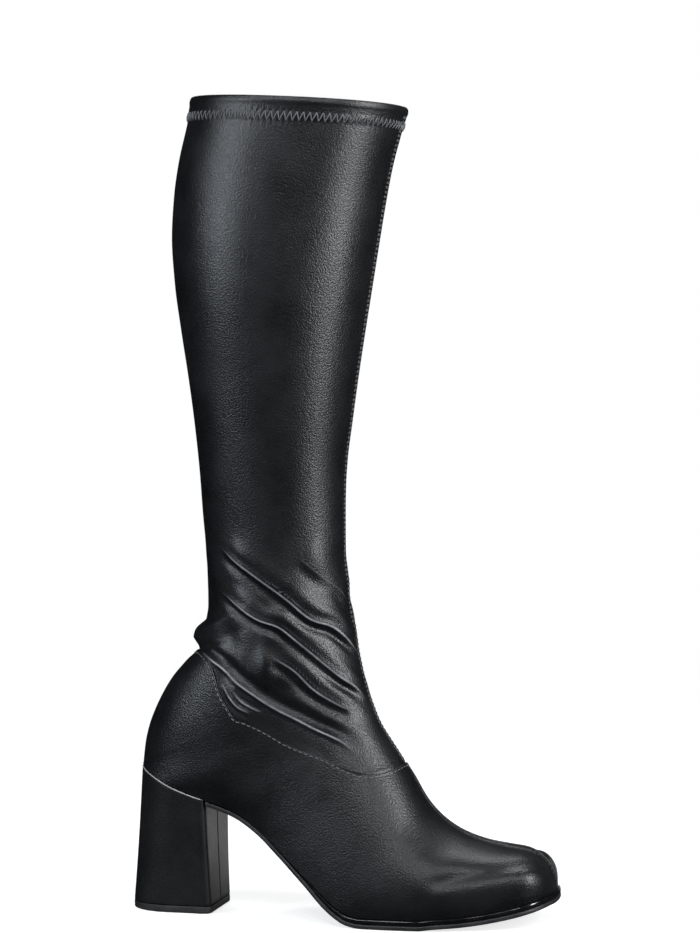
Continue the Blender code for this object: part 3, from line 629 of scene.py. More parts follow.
def lattice_noise(points, size, seed):
    """Smooth random heights between -1 and 1 over space, with bumps of the given size."""
    place = points / size
    low = np.floor(place).astype(np.int64)
    part = place - low
    part = part * part * (3.0 - 2.0 * part)
    total = np.zeros(points.shape[:-1])
    for dx in (0, 1):
        for dy in (0, 1):
            for dz in (0, 1):
                corner = low + np.array((dx, dy, dz))
                mixed = corner @ LATTICE_MIX + seed * LATTICE_SEED
                mixed = (mixed ^ (mixed >> 13)) * 1274126177 & 0x7FFFFFFF
                value = (mixed ^ (mixed >> 16)) % 65536 / 32767.5 - 1.0
                weight = np.where(dx, part[..., 0], 1.0 - part[..., 0])
                weight = weight * np.where(dy, part[..., 1], 1.0 - part[..., 1])
                weight = weight * np.where(dz, part[..., 2], 1.0 - part[..., 2])
                total += weight * value
    return total


def soft_step(x):
    x = np.clip(x, 0.0, 1.0)
    return x * x * (3.0 - 2.0 * x)


def bell(x, centre, width):
    return np.exp(-(((x - centre) / width) ** 2))


def crowded(fine, crowd, count):
    """Places between 0 and 1, closer together where crowd is high."""
    total = np.concatenate(([0.0], np.cumsum((crowd[1:] + crowd[:-1]) / 2.0)))
    return np.interp(np.arange(count + 1) / count, total / total[-1], fine)


def shares_across():
    """Places round the upper, closer together at the seams and where the panel's edge is steep."""
    fine = np.linspace(0.0, 1.0, SHARE_SAMPLES)
    reach = 1.0 - np.abs(2.0 * fine - 1.0)
    seams = bell(reach, 0.0, SEAM_CROWD_REACH) + bell(reach, 1.0, SEAM_CROWD_REACH)
    crowd = 1.0 + SEAM_CROWD * seams + STEEP_CROWD * bell(reach, STEEP_PLACE, STEEP_REACH)
    made = crowded(fine, crowd, COLUMNS)
    made[COLUMNS // 2] = 0.5
    return made


def fine_stations(end_count, middle_count):
    quarter = np.pi / 2.0 * np.arange(end_count + 1) / end_count
    heel_end = x_of(0.0) + HEEL_END * (1.0 - np.cos(quarter))
    toe_end = x_of(1.0) - TOE_END * (1.0 - np.cos(quarter[::-1]))
    middle = np.linspace(heel_end[-1], toe_end[0], middle_count + 1)
    return np.concatenate((heel_end, middle[1:-1], toe_end))


def unit(vectors):
    length = np.linalg.norm(vectors, axis=-1, keepdims=True)
    return vectors / np.maximum(length, 1e-9)


def running_length(steps):
    """Sums of the steps along the first axis, from 0 on."""
    return np.concatenate((np.zeros((1, *steps.shape[1:])), np.cumsum(steps, axis=0)))


def grid_normals(points, closed):
    """Outward direction at each point of a grid. Closed says which rows join up at the back."""
    down = np.gradient(points, axis=0)
    across = np.gradient(points, axis=1)
    around = (points[:, 1] - points[:, -2]) / 2.0
    across[closed, 0] = around[closed]
    across[closed, -1] = around[closed]
    both = (down[:, 0] + down[:, -1]) / 2.0
    down[closed, 0] = both[closed]
    down[closed, -1] = both[closed]
    return unit(np.cross(across, down))


def smoothed_path(path, count=60):
    """A rounded curve through a few points."""
    path = np.array(path)
    reach = running_length(np.linalg.norm(np.diff(path, axis=0), axis=1))
    places = np.linspace(0.0, reach[-1], count)
    slopes = np.gradient(path, reach, axis=0)
    k = np.clip(np.searchsorted(reach, places, side="right") - 1, 0, len(reach) - 2)
    step = (reach[k + 1] - reach[k])[:, None]
    return between((places - reach[k])[:, None] / step, step, path, slopes, k)


def in_reach(path, points, reach):
    """Says which points lie in the path's box, widened by reach."""
    return np.all((points > path.min(axis=0) - reach) & (points < path.max(axis=0) + reach), axis=-1)


def laid_on(path, points):
    """The path moved onto the surface, and evened out again."""
    flat = points.reshape(-1, 3)
    flat = flat[in_reach(path, flat, LAID_REACH)]
    gaps = np.linalg.norm(path[:, None] - flat[None], axis=-1)
    weight = np.exp(-((gaps - gaps.min(axis=1, keepdims=True)) ** 2) / LAID_SOFTNESS)
    laid = (weight[..., None] * flat[None]).sum(axis=1) / weight.sum(axis=1, keepdims=True)
    for turn in range(PATH_SMOOTHING):
        laid[1:-1] = (laid[:-2] + 2.0 * laid[1:-1] + laid[2:]) / 4.0
    return laid


def crease_lift(points, normals, path, row):
    """Height of one crease at each point, the signed distance to its crest and the strength of the painted
    highlight along that crest there.
    """
    near = in_reach(path, points, CREASE_REACH)
    here = points[near]
    away = np.full(len(here), 1e9)
    signed = np.zeros(len(here))
    along = np.zeros(len(here))
    for k in range(len(path) - 1):
        step = path[k + 1] - path[k]
        t = np.clip((here - path[k]) @ step / (step @ step), 0.0, 1.0)
        gap = here - path[k] - t[:, None] * step
        distance = np.linalg.norm(gap, axis=1)
        below = np.cross(step, normals[near])
        side = np.where(np.einsum("ij,ij->i", below, gap) >= 0.0, 1.0, -1.0)
        closer = distance < away
        away = np.where(closer, distance, away)
        signed = np.where(closer, side * distance, signed)
        along = np.where(closer, (k + t) / (len(path) - 1), along)
    values = dict(zip(CREASE_COLUMNS, row))
    fade = soft_step(along / CREASE_START_FADE) * soft_step((1.0 - along) / CREASE_END_FADE)
    # A slow swing along the crest, different for each crease
    swing = np.sin(SWING_ALONG * along + SWING_APART * len(values["path"]))
    fade = fade * (1.0 - SWING + SWING * swing)
    width = values["crest_width"] * np.where(signed > 0.0, CREST_STEEP, 1.0)
    lift = values["crest"] * bell(signed, 0.0, width)
    lift -= values["hollow"] * bell(signed, values["hollow_at"], values["hollow_width"])
    lift += values["swell"] * bell(signed, values["swell_at"], values["swell_width"])
    total = np.zeros(points.shape[:-1])
    total[near] = lift * fade
    gap = np.full(points.shape[:-1], HIGHLIGHT_REACH)
    gap[near] = np.clip(signed, -HIGHLIGHT_REACH, HIGHLIGHT_REACH)
    # Strength of the painted highlight along the crest
    painted_crest_highlight = np.zeros(points.shape[:-1])
    painted_crest_highlight[near] = values["highlight_level"] * fade * soft_step((HIGHLIGHT_REACH - away) / (0.5 * HIGHLIGHT_REACH))
    return total, gap, painted_crest_highlight


def ankle_lift(points, normals):
    """Height in metres of all creases, dents and ripples of the shaft, then the crests' gap and the strength
    of the painted highlight along them.
    """
    spot = points / MM
    total = np.zeros(points.shape[:-1])
    gaps = np.full(points.shape[:-1], HIGHLIGHT_REACH)
    highlight_levels = np.zeros(points.shape[:-1])
    for row in CREASE_SHAPES:
        values = dict(zip(CREASE_COLUMNS, row))
        outer = smoothed_path(CREASES[values["path"]])
        inner = outer * np.array((1.0, -1.0, 1.0)) + np.array((0.0, 0.0, values["inner_shift"]))
        # The side that lies below turns round with the mirrored normal, so the inner path runs back.
        for path, strength, highlight_level in ((outer, 1.0, 1.0), (inner[::-1], INNER_STRENGTH, INNER_HIGHLIGHT)):
            lift, gap, painted_crest_highlight = crease_lift(spot, normals, laid_on(path, spot), row)
            total += strength * lift
            closer = np.abs(gap) < np.abs(gaps)
            gaps = np.where(closer, gap, gaps)
            highlight_levels = np.where(closer, highlight_level * painted_crest_highlight, highlight_levels)
    for row in DENTS:
        values = dict(zip(DENT_COLUMNS, row))
        gap = spot - np.array((values["x"], values["y"], values["z"]))
        reach = np.array((values["wide"], DENT_DEEP, values["tall"]))
        total += values["height"] * np.exp(-((gap / reach) ** 2).sum(axis=-1))
    ankle = soft_step((ANKLE_HEIGHT - spot[..., 2]) / ANKLE_LENGTH)
    slanted = spot * RIPPLE_STRETCH + RIPPLE_SLANT * spot[..., :1]
    total += ankle * RIPPLE * lattice_noise(slanted, RIPPLE_SIZE, RIPPLE_SEED)
    total += (WAVE + WAVE * ankle) * lattice_noise(spot * WAVE_STRETCH, WAVE_SIZE, WAVE_SEED)
    return total * MM, gaps, highlight_levels


def seam_lift(arc, strength=1.0):
    groove = -SEAM_GROOVE * bell(arc, 0.0, SEAM_GROOVE_WIDTH)
    ridge = SEAM_RIDGE * bell(np.abs(arc), SEAM_RIDGE_AT, SEAM_RIDGE_WIDTH)
    return strength * (groove + ridge)


def arcs_across(points, column):
    """Signed length along each row from the given column."""
    steps = np.linalg.norm(np.diff(points, axis=1), axis=-1)
    arc = running_length(steps.T).T
    return arc - arc[:, column : column + 1]


def back_arcs(points):
    """Length along each row from the back line, whichever way is shorter."""
    from_start = arcs_across(points, 0)
    return np.minimum(from_start, from_start[:, -1:] - from_start)


def new_piece(name, points, faces, sharp=None):
    mesh = bpy.data.meshes.new(name)
    mesh.from_pydata(np.asarray(points).reshape(-1, 3).tolist(), [], faces)
    mesh.validate()
    mesh.polygons.foreach_set("use_smooth", [True] * len(mesh.polygons))
    if sharp is not None:
        mesh.set_sharp_from_angle(angle=sharp)
    piece = bpy.data.objects.new(name, mesh)
    bpy.context.scene.collection.objects.link(piece)
    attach(piece, "root")
    return piece


def grid_faces(rows, columns, first=0):
    """Quads of a grid whose points are numbered row by row."""
    a = (np.arange(rows - 1)[:, None] * columns + np.arange(columns - 1)[None, :]).ravel() + first
    return np.stack((a, a + 1, a + 1 + columns, a + columns), axis=1)


def weld(points, faces, distance=1e-6):
    """Makes points that coincide one, and drops faces that lose their area."""
    keys = np.round(points / distance).astype(np.int64)
    unused, first, index = np.unique(keys, axis=0, return_index=True, return_inverse=True)
    index = index.reshape(-1)
    kept = []
    for face in index[faces]:
        corners = list(dict.fromkeys(face.tolist()))
        if len(corners) > 2:
            kept.append(tuple(corners))
    return points[first], kept, first


def seam_rows(points, normals, row):
    """Outward direction and the direction past the seam, within the surface, for each point of one row."""
    along = np.gradient(points[row], axis=0)
    along[0] = along[-1] = (points[row][1] - points[row][-2]) / 2.0
    normal = normals[row]
    past = unit(np.cross(normal, along))
    return normal, past


def panel_sections(shares):
    seam = seam_section(shares)
    scale = seam / seam_section(np.zeros(1))
    stations = fine_stations(PANEL_END_STATIONS, PANEL_MIDDLE_STATIONS)
    rows = [section_at(x) * scale for x in stations[:0:-1]]
    seat = SEAT_END * scale
    rows += [seat + (seam - seat) * i / PANEL_SEAT_ROWS for i in range(PANEL_SEAT_ROWS + 1)]
    return np.array(rows), len(stations) - 1


def build_panel():
    shares = shares_across()
    grid, seat_row = panel_sections(shares)
    base = upper_points(grid, np.broadcast_to(shares, grid.shape))
    numbers = np.arange(len(grid))
    closed = numbers >= seat_row
    normals = grid_normals(base, closed)
    normals[0] = unit(normals[1].mean(axis=0))
    arc = arcs_across(base, COLUMNS // 2)
    arc[0] = OFF_SEAM
    toe_fade = soft_step(numbers / TOE_FADE_ROWS)[:, None]
    lift = PANEL_STEP + seam_lift(arc) * toe_fade
    lift += np.where(closed[:, None], seam_lift(back_arcs(base), PANEL_BACK_SEAM), 0.0)
    ledge = smoothed_path(TOE_LEDGE)
    for path in (ledge, ledge[::-1] * np.array((1.0, -1.0, 1.0))):
        lift += MM * crease_lift(base / MM, normals, laid_on(path, base / MM), TOE_SHAPE)[0]
    for height, size, seed in PANEL_BUMPS:
        lift += height * lattice_noise(base, size, seed) * toe_fade
    shown = base + normals * lift[..., None]
    foot = numbers <= seat_row
    level = np.array((1.0, 1.0, 0.0))
    for column in (0, -1):
        place = base[foot, column] + unit(normals[foot, column] * level) * PANEL_STEP
        place[:, 2] = feather(np.clip(place[:, 0], x_of(0.0), x_of(1.0)))
        shown[foot, column] = place
    normal, past = seam_rows(base, normals, -1)
    rough = lift[-1] - PANEL_STEP
    edge = [base[-1] + past * out + normal * (high + rough)[:, None] for out, high in PANEL_EDGE]
    points = np.concatenate((shown, np.array(edge)))
    faces = [grid_faces(len(points), COLUMNS + 1)]
    parts = [points.reshape(-1, 3)]
    count = len(parts[0])
    # The lower edge turns in under the foot, onto the sole
    for column in (0, COLUMNS):
        place = shown[foot, column]
        centre = np.stack((place[:, 0] - TURN_CENTRE, np.zeros(len(place)), place[:, 2]), axis=1)
        inward = unit((centre - place) * level)
        ids = np.arange(len(place)) * (COLUMNS + 1) + column
        for down, reach in TURN_IN:
            parts.append(place - np.array((0.0, 0.0, down)) + inward * reach)
            following = count + np.arange(len(place))
            strip = np.stack((ids[:-1], ids[1:], following[1:], following[:-1]), axis=1)
            faces.append(strip if column == 0 else strip[:, ::-1])
            ids = following
            count += len(place)
    panel = new_piece("foot_panel", *weld(np.concatenate(parts), np.concatenate(faces))[:2])
    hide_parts("upper")
    return panel, shown, normals


def shaft_sections(shares):
    seam = seam_section(shares)
    fine = np.linspace(0.0, 1.0, SHARE_SAMPLES)
    crowd = 1.0 + ANKLE_CROWD * (1.0 - soft_step((fine - ANKLE_TOP) / ANKLE_FADE))
    steps = crowded(fine, crowd, SHAFT_ROWS)
    rows = [seam + (HEM_LINE - seam) * t for t in steps]
    hem = HEM_LINE + (COLLAR - HEM_LINE) * np.arange(1, HEM_ROWS + 1) / HEM_ROWS
    rows += [np.full_like(seam, row) for row in hem]
    return np.array(rows)


def zigzag_wave(turns):
    """Runs evenly from 0 to 1 and back once per turn."""
    return 1.0 - np.abs(2.0 * (turns % 1.0) - 1.0)


def build_shaft():
    shares = shares_across()
    grid = shaft_sections(shares)
    base = upper_points(grid, np.broadcast_to(shares, grid.shape))
    closed = np.ones(len(grid), dtype=bool)
    normals = grid_normals(base, closed)
    from_seam = running_length(np.linalg.norm(np.diff(base, axis=0), axis=-1))
    from_collar = from_seam[-1:] - from_seam
    folds, gaps, highlight_levels = ankle_lift(base, normals)
    near_seam = soft_step(from_seam / FOLD_FADE)
    folds = np.where(folds < 0.0, folds * near_seam, folds * (FOLD_LEFT + (1.0 - FOLD_LEFT) * near_seam))
    folds *= soft_step((from_collar - COLLAR_CLEAR) / COLLAR_FADE)
    back = back_arcs(base)
    folds -= SEAM_TROUGH * bell(from_seam, SEAM_TROUGH_AT, SEAM_TROUGH_WIDTH)
    from_lip = from_seam - BACK_LIP_RISE
    rounded = np.sqrt(from_lip**2 + BACK_LIP_ROUND**2) - BACK_LIP_ROUND
    length = np.where(from_lip > 0.0, BACK_LIP_ABOVE, BACK_LIP_BELOW)
    lip = BACK_LIP * np.maximum(1.0 - rounded / length, 0.0)
    lip -= BACK_NOTCH * bell(from_seam, BACK_NOTCH_RISE, BACK_NOTCH_LENGTH)
    lift = folds + lip * bell(back, 0.0, BACK_LIP_REACH)
    lift += seam_lift(arcs_across(base, COLUMNS // 2)) + seam_lift(back, SHAFT_BACK_SEAM)
    above = from_collar[SHAFT_ROWS] - from_collar
    puff = HEM_STEP * soft_step(above / HEM_PUFF_LENGTH)
    girth = arcs_across(base, 0)
    turns = girth / girth[:, -1:] * np.round(girth[SHAFT_ROWS, -1] / ZIGZAG_PITCH)
    wave = zigzag_wave(turns)
    stitch_height = ZIGZAG_LOW + (ZIGZAG_HIGH - ZIGZAG_LOW) * wave
    in_band = bell(above, stitch_height, THREAD_PULL_WIDTH)
    ends = bell(above, ZIGZAG_LOW, CORNER_PULL_WIDTH) * (1.0 - wave)
    ends += bell(above, ZIGZAG_HIGH, CORNER_PULL_WIDTH) * wave
    lift += puff - ZIGZAG_PULL * np.maximum(in_band, ends)
    lift += HEM_ROLL * bell(from_collar, HEM_ROLL_AT, HEM_ROLL_REACH)
    shown = base + normals * lift[..., None]
    normal, past = seam_rows(base, normals, 0)
    tucked = base[0] - past * TUCK - normal * TUCK_DEPTH
    half_tucked = base[0] - past * HALF_TUCK - normal * HALF_TUCK_DEPTH
    # The collar turns over and goes down inside as the hem's turning
    out = shown[-1]
    inside_top = base[-1] - normals[-1] * WALL
    crest = (out + inside_top) / 2.0
    radius = (out - inside_top) / 2.0
    rise = np.linalg.norm(radius, axis=1, keepdims=True)
    up = unit(base[-1] - base[-2])
    angles = np.pi * np.arange(1, RIM_STEPS) / RIM_STEPS
    rim = [crest + radius * np.cos(angle) + up * rise * np.sin(angle) for angle in angles]
    turned = np.arange(len(base) - 1, SHAFT_ROWS - TURNING_ROWS, -2)
    turning = base[turned] - normals[turned] * WALL
    points = np.concatenate(([tucked, half_tucked], shown, rim, turning))
    below = np.zeros((2, COLUMNS + 1))
    over = np.zeros((len(points) - len(gaps) - 2, COLUMNS + 1))
    # Distance to the nearest crest and strength of the painted highlight there, read by the leather shader
    layers = {
        "crest_gap": np.concatenate((below + HIGHLIGHT_REACH, gaps, over + HIGHLIGHT_REACH)),
        "crest_highlight_level": np.concatenate((below, highlight_levels, over)),
    }
    points, kept, chosen = weld(points.reshape(-1, 3), grid_faces(len(points), COLUMNS + 1))
    shaft = new_piece("shaft", points, kept)
    for layer_name, values in layers.items():
        layer = shaft.data.attributes.new(layer_name, "FLOAT", "POINT")
        layer.data.foreach_set("value", values.ravel()[chosen])
    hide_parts("upper")
    return shaft, shown, normals, from_collar


def build_lining():
    """Cloth face inside the whole upper, from the toe to the lower end of the hem's turning."""
    shares = shares_across()[::LINING_COLUMNS]
    foot = panel_sections(shares)[0][::LINING_FOOT_ROWS]
    top = shaft_sections(shares)[1 : SHAFT_ROWS - 2]
    grid = np.concatenate((foot, top[::LINING_SHAFT_ROWS], top[-1:]))
    base = upper_points(grid, np.broadcast_to(shares, grid.shape))
    closed = grid[:, 0] >= SEAT_END - 0.001
    normals = grid_normals(base, closed)
    normals[0] = unit(normals[1].mean(axis=0))
    height, size, seed = LINING_BUMPS
    fine = height * lattice_noise(base, size, seed)
    folds = ankle_lift(base, normals)[0]
    on_shaft = np.arange(len(grid))[:, None] >= len(foot) + 2
    depth = -(WALL + LINING_DEPTH) + fine + np.where(on_shaft, LINING_FOLDS * folds, 0.0)
    points = base + normals * depth[..., None]
    faces = grid_faces(len(points), len(shares))[:, ::-1]
    lining = new_piece("lining", *weld(points.reshape(-1, 3), faces)[:2])
    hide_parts("upper")
    return lining


def sample(grid, rows, columns):
    """Values of a grid between its points."""
    rows = np.clip(rows, 0, len(grid) - 1.001)
    columns = np.clip(columns, 0, grid.shape[1] - 1.001)
    i = rows.astype(int)
    j = columns.astype(int)
    u = (rows - i)[:, None]
    v = (columns - j)[:, None]
    low = grid[i, j] * (1 - v) + grid[i, j + 1] * v
    high = grid[i + 1, j] * (1 - v) + grid[i + 1, j + 1] * v
    return low * (1 - u) + high * u


# Places along a stitch and how deep its ends dip, then the places and heights of one leg of the zigzag
STITCH_SHARES = np.array((0.0, 0.12, 0.35, 0.65, 0.88, 1.0))
STITCH_SINK = 0.3 * MM
STITCH_SHOULDER = 0.3
LEG_SHARES = np.array((0.0, 0.06, 0.2, 0.5, 0.8, 0.94, 1.0))
LEG_HEIGHTS = np.array((-0.5, 0.0, 0.22, 0.3, 0.22, 0.0, -0.5)) * MM + 0.12 * MM
TUBE_END = 0.25


def tubes(name, paths, radius, sides=6):
    """One mesh of round threads. Each path is (points, outward directions), and its two ends close."""
    all_points = []
    all_faces = []
    count = 0
    angles = 2.0 * np.pi * np.arange(sides) / sides
    for points, outward in paths:
        tangent = unit(np.gradient(points, axis=0))
        side = unit(np.cross(tangent, outward))
        up = unit(np.cross(side, tangent))
        width = np.full(len(points), radius)
        width[0] = width[-1] = TUBE_END * radius
        ring = side[:, None] * np.cos(angles)[None, :, None] + up[:, None] * np.sin(angles)[None, :, None]
        all_points.append((points[:, None] + ring * width[:, None, None]).reshape(-1, 3))
        rings = np.arange(len(points) - 1)[:, None] * sides
        around = np.arange(sides)[None, :]
        following = (around + 1) % sides
        corners = (rings + around, rings + following, rings + sides + following, rings + sides + around)
        all_faces += (np.stack(corners, axis=-1).reshape(-1, 4) + count).tolist()
        all_faces.append((np.arange(sides)[::-1] + count).tolist())
        all_faces.append((np.arange(sides) + count + (len(points) - 1) * sides).tolist())
        count += len(points) * sides
    return new_piece(name, np.concatenate(all_points), all_faces)


def dashes(points, outward, pitch, length, rise):
    """Short stitches along a curve on the surface, each dipping into it at both ends."""
    reach = running_length(np.linalg.norm(np.diff(points, axis=0), axis=1))
    paths = []
    shoulder = STITCH_SHOULDER * rise
    height = np.array((-STITCH_SINK, shoulder, rise, rise, shoulder, -STITCH_SINK))
    for start in np.arange(0.0, reach[-1] - length, pitch):
        places = start + STITCH_SHARES * length
        spot = np.stack([np.interp(places, reach, points[:, k]) for k in range(3)], axis=1)
        facing = unit(np.stack([np.interp(places, reach, outward[:, k]) for k in range(3)], axis=1))
        paths.append((spot + facing * height[:, None], facing))
    return paths


# Threads
THREAD_RADIUS = 0.21 * MM
ZIGZAG_RADIUS = 0.31 * MM
PANEL_STITCH_IN = 0.95 * MM
PANEL_STITCH_PITCH = 3.3 * MM
PANEL_STITCH_LENGTH = 2.3 * MM
FRONT_STITCH_AT = 1.75 * MM
FRONT_STITCH_PITCH = 2.7 * MM
FRONT_STITCH_LENGTH = 1.8 * MM
FRONT_STITCH_RISE = 0.12 * MM
VAMP_STITCH_RISE = 0.02 * MM
PANEL_STITCH_RISE = 0.08 * MM
FRONT_FIRST_ROW = 4
VAMP_FIRST_ROW = 16
VAMP_LEFT_ROWS = 8

# Sole edges
OUTSOLE_LOW_ROUND = 0.8 * MM
OUTSOLE_HIGH_ROUND = 0.9 * MM
MIDSOLE_LOW_ROUND = 0.9 * MM
MIDSOLE_HIGH_ROUND = 1.1 * MM
HEEL_LOW_ROUND = 0.4 * MM
HEEL_HIGH_ROUND = 0.8 * MM
TIP_LOW_ROUND = 0.7 * MM
TIP_HIGH_ROUND = 0.3 * MM
BREAST_SEAM_DEPTH = 0.5 * MM
BREAST_SEAM_WIDTH = 0.45 * MM
BEAD_RADIUS = 0.34 * MM
BEAD_IN = 0.4
BEAD_SINK = 0.10 * MM
SOCK_ROUNDS = (0.3 * MM, 1.2 * MM)
HEEL_WAIST = 0.3 * MM
HEEL_LEVELS = np.linspace(0.03, 0.97, 24)
BREAST_PLACES = np.concatenate((np.linspace(1.0, 0.14, 8), np.linspace(0.12, 0.0, 13)))


def round_edge(thickness, low, high):
    """Levels from bottom to top, as shares of the thickness, and how far the edge is drawn in at each."""
    levels = []
    for k in range(ROUND_STEPS + 1):
        angle = np.pi / 2.0 * k / ROUND_STEPS
        levels.append((low * (1.0 - np.cos(angle)) / thickness, low * (1.0 - np.sin(angle))))
    for k in range(ROUND_STEPS + 1):
        angle = np.pi / 2.0 * (1.0 - k / ROUND_STEPS)
        levels.append((1.0 - high * (1.0 - np.cos(angle)) / thickness, high * (1.0 - np.sin(angle))))
    return levels


def stacked_faces(levels, closed_start, closed_end):
    """Points and faces of a body from loops of (lateral, medial) points, its caps strung across."""
    count = len(levels[0][0])
    rings = len(levels)
    points = np.concatenate([np.concatenate((left, right)) for left, right in levels])
    faces = []
    for ring in range(rings - 1):
        low = ring * 2 * count
        high = low + 2 * count
        k = np.arange(count - 1)
        faces.append(np.stack((low + k, low + k + 1, high + k + 1, high + k), axis=1))
        a, b = low + count + k, high + count + k
        faces.append(np.stack((a, b, b + 1, a + 1), axis=1))
        if not closed_start:
            faces.append(np.array(((low, high, high + count, low + count),)))
        if not closed_end:
            last = count - 1
            faces.append(np.array(((low, low + count, high + count, high),)) + last)
    k = np.arange(count - 1)
    faces.append(np.stack((count + k, count + k + 1, k + 1, k), axis=1))
    top = (rings - 1) * 2 * count
    faces.append(np.stack((top + k, top + k + 1, top + count + k + 1, top + count + k), axis=1))
    return points, np.concatenate(faces)


def solid_piece(name, levels, closed_start, closed_end, sharp=0.6):
    return new_piece(name, *weld(*stacked_faces(levels, closed_start, closed_end))[:2], sharp)


def sole_loop(x, margin, closed_start):
    lateral, medial = outline(x)
    points = np.stack((x, -lateral), axis=1), np.stack((x, medial), axis=1)
    moved = inset_loop(points, -margin)
    if not closed_start:
        for side, start, sign in zip(moved, points, (-1.0, 1.0)):
            side[0] = (x[0], start[0][1] + sign * margin[0])
    tip = (moved[0][-1] + moved[1][-1]) / 2.0
    moved[0][-1] = tip
    moved[1][-1] = tip
    if closed_start:
        back = (moved[0][0] + moved[1][0]) / 2.0
        moved[0][0] = back
        moved[1][0] = back
    return moved


def sole_margin(x):
    return SOLE_MARGIN * from_table(EDGE, EDGE_COLUMNS, "margin", x)


def build_sole_layer(name, start, thickness, rounds, margin, bottom, top):
    closed_start = start <= x_of(0.0)
    x = fine_stations(SOLE_END_STATIONS, SOLE_MIDDLE_STATIONS)
    if not closed_start:
        step = x[len(x) // 2 + 1] - x[len(x) // 2]
        x = np.concatenate(([start], x[x > start + step / 2.0]))
    levels = []
    for level, inset in round_edge(thickness, *rounds):
        ring = []
        for side in sole_loop(x, margin(x) - inset, closed_start):
            inside = np.clip(side[:, 0], x_of(0.0), x_of(1.0))
            low, high = bottom(inside), top(inside)
            ring.append(np.column_stack((side, low + (high - low) * level)))
        levels.append(ring)
    return solid_piece(name, levels, closed_start, True)


def insole_top(x):
    return feather(x) + INSOLE_THICKNESS * slant(x)


def insole_margin(x):
    return np.full_like(x, -(WALL + INSOLE_CLEARANCE))


def heel_stations():
    quarter = np.pi / 2.0 * np.arange(HEEL_BACK_STATIONS) / HEEL_BACK_STATIONS
    back = list(HEEL_ROUND_SHARE * (1.0 - np.cos(quarter)))
    rest = (1.0 - HEEL_ROUND_SHARE) / HEEL_SIDE_STATIONS
    side = [HEEL_ROUND_SHARE + rest * k for k in range(HEEL_SIDE_STATIONS)]
    return np.array(back + side), np.pi / 2.0 * np.arange(HEEL_CORNER_STATIONS + 1) / HEEL_CORNER_STATIONS


def d_loop(back, front, half_widths, inset):
    """The heel's outline at one level: rounded back, near-flat sides, two rounded front corners."""
    shares, corner = heel_stations()
    front = front - inset
    straight_end = front - HEEL_CORNER
    x = back + (straight_end - back) * shares
    lateral, medial = half_widths(x)
    side_l = np.stack((x, -lateral), axis=1)
    side_m = np.stack((x, medial), axis=1)
    side_l, side_m = inset_loop((side_l, side_m), np.full(len(x), inset))
    middle = (side_l[0] + side_m[0]) / 2.0
    side_l[0] = middle
    side_m[0] = middle
    end_lateral, end_medial = half_widths(np.array([straight_end]))
    corner_x = straight_end + HEEL_CORNER * np.sin(corner)
    drop = HEEL_CORNER * (1.0 - np.cos(corner)) + inset
    corner_l = np.stack((corner_x, -(end_lateral[0] - drop)), axis=1)
    corner_m = np.stack((corner_x, end_medial[0] - drop), axis=1)
    return np.concatenate((side_l, corner_l)), np.concatenate((side_m, corner_m))


def tip_half_widths(x):
    back = -HEEL_TIP_LENGTH / 2.0
    round_length = HEEL_TIP_LENGTH * HEEL_ROUND_SHARE
    from_back = np.clip(1.0 - (x - back) / round_length, 0.0, 1.0)
    half = HEEL_TIP_WIDTH / 2.0 * (1.0 - from_back**HEEL_END_POWER) ** (1.0 / HEEL_END_POWER)
    return half, half


def tip_loop(inset):
    return d_loop(-HEEL_TIP_LENGTH / 2.0, HEEL_TIP_LENGTH / 2.0, tip_half_widths, inset)


def seat_back_x():
    return x_of(0.0) - HEEL_RIM


def seat_half_widths(x):
    inside = np.clip((x - seat_back_x()) / (BREAST - seat_back_x()), 0.0, 1.0)
    lateral, medial = outline(x_of(0.0) + inside * (BREAST - x_of(0.0)))
    swell = np.sqrt(1.0 - (1.0 - np.clip(inside / RIM_FADE, 0.0, 1.0)) ** 2)
    return lateral + HEEL_RIM * swell, medial + HEEL_RIM * swell


def heel_ring(share, inset):
    bottom = TIP_THICKNESS + GAP
    ring = []
    for low, high in zip(tip_loop(inset), d_loop(seat_back_x(), BREAST, seat_half_widths, inset)):
        flat = low + (high - low) * share
        top = heel_top(np.clip(high[:, 0], x_of(0.0), x_of(1.0)))
        ring.append(np.column_stack((flat, bottom + (top - bottom) * share)))
    return ring


def build_heel():
    """Covered block, with the cover's butt seam down the middle of its breast."""
    height = heel_top(0.0) - TIP_THICKNESS - GAP
    levels = round_edge(height, HEEL_LOW_ROUND, HEEL_HIGH_ROUND)
    waist = [(share, HEEL_WAIST * np.sin(np.pi * share)) for share in HEEL_LEVELS]
    rounded = len(levels) // 2
    rings = [heel_ring(share, inset) for share, inset in levels[:rounded] + waist + levels[rounded:]]
    made = []
    for lateral, medial in rings:
        # The flat breast goes on as a row of points, so that its seam has a shape.
        end_l, end_m = lateral[-1], medial[-1]
        middle = (end_l + end_m) / 2.0
        rows = []
        for end in (end_l, end_m):
            line = middle + (end - middle) * BREAST_PLACES[1:, None]
            line[:, 0] -= BREAST_SEAM_DEPTH * bell(line[:, 1], middle[1], BREAST_SEAM_WIDTH)
            rows.append(line)
        made.append((np.concatenate((lateral, rows[0])), np.concatenate((medial, rows[1]))))
    heel = solid_piece("heel_block", made, True, True)
    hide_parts("heel")
    # Thin bead along the heel's top rim; its pale grey material is a painted highlight of the rim
    top = heel_ring(1.0, HEEL_HIGH_ROUND * BEAD_IN)
    loop = np.concatenate((top[0][::-1], top[1][1:]))
    loop[:, 2] -= BEAD_SINK
    outward = np.tile(np.array((0.0, 0.0, 1.0)), (len(loop), 1))
    bead = tubes("heel_seat_edge", [(loop, outward)], BEAD_RADIUS, sides=8)
    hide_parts("heel")
    return heel, bead


def build_heel_tip():
    rings = []
    for share, inset in round_edge(TIP_THICKNESS, TIP_LOW_ROUND, TIP_HIGH_ROUND):
        height = TIP_THICKNESS * share
        rings.append([np.column_stack((side, np.full(len(side), height))) for side in tip_loop(inset)])
    tip = solid_piece("heel_top_piece", rings, True, False)
    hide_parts("heel_tip")
    return tip


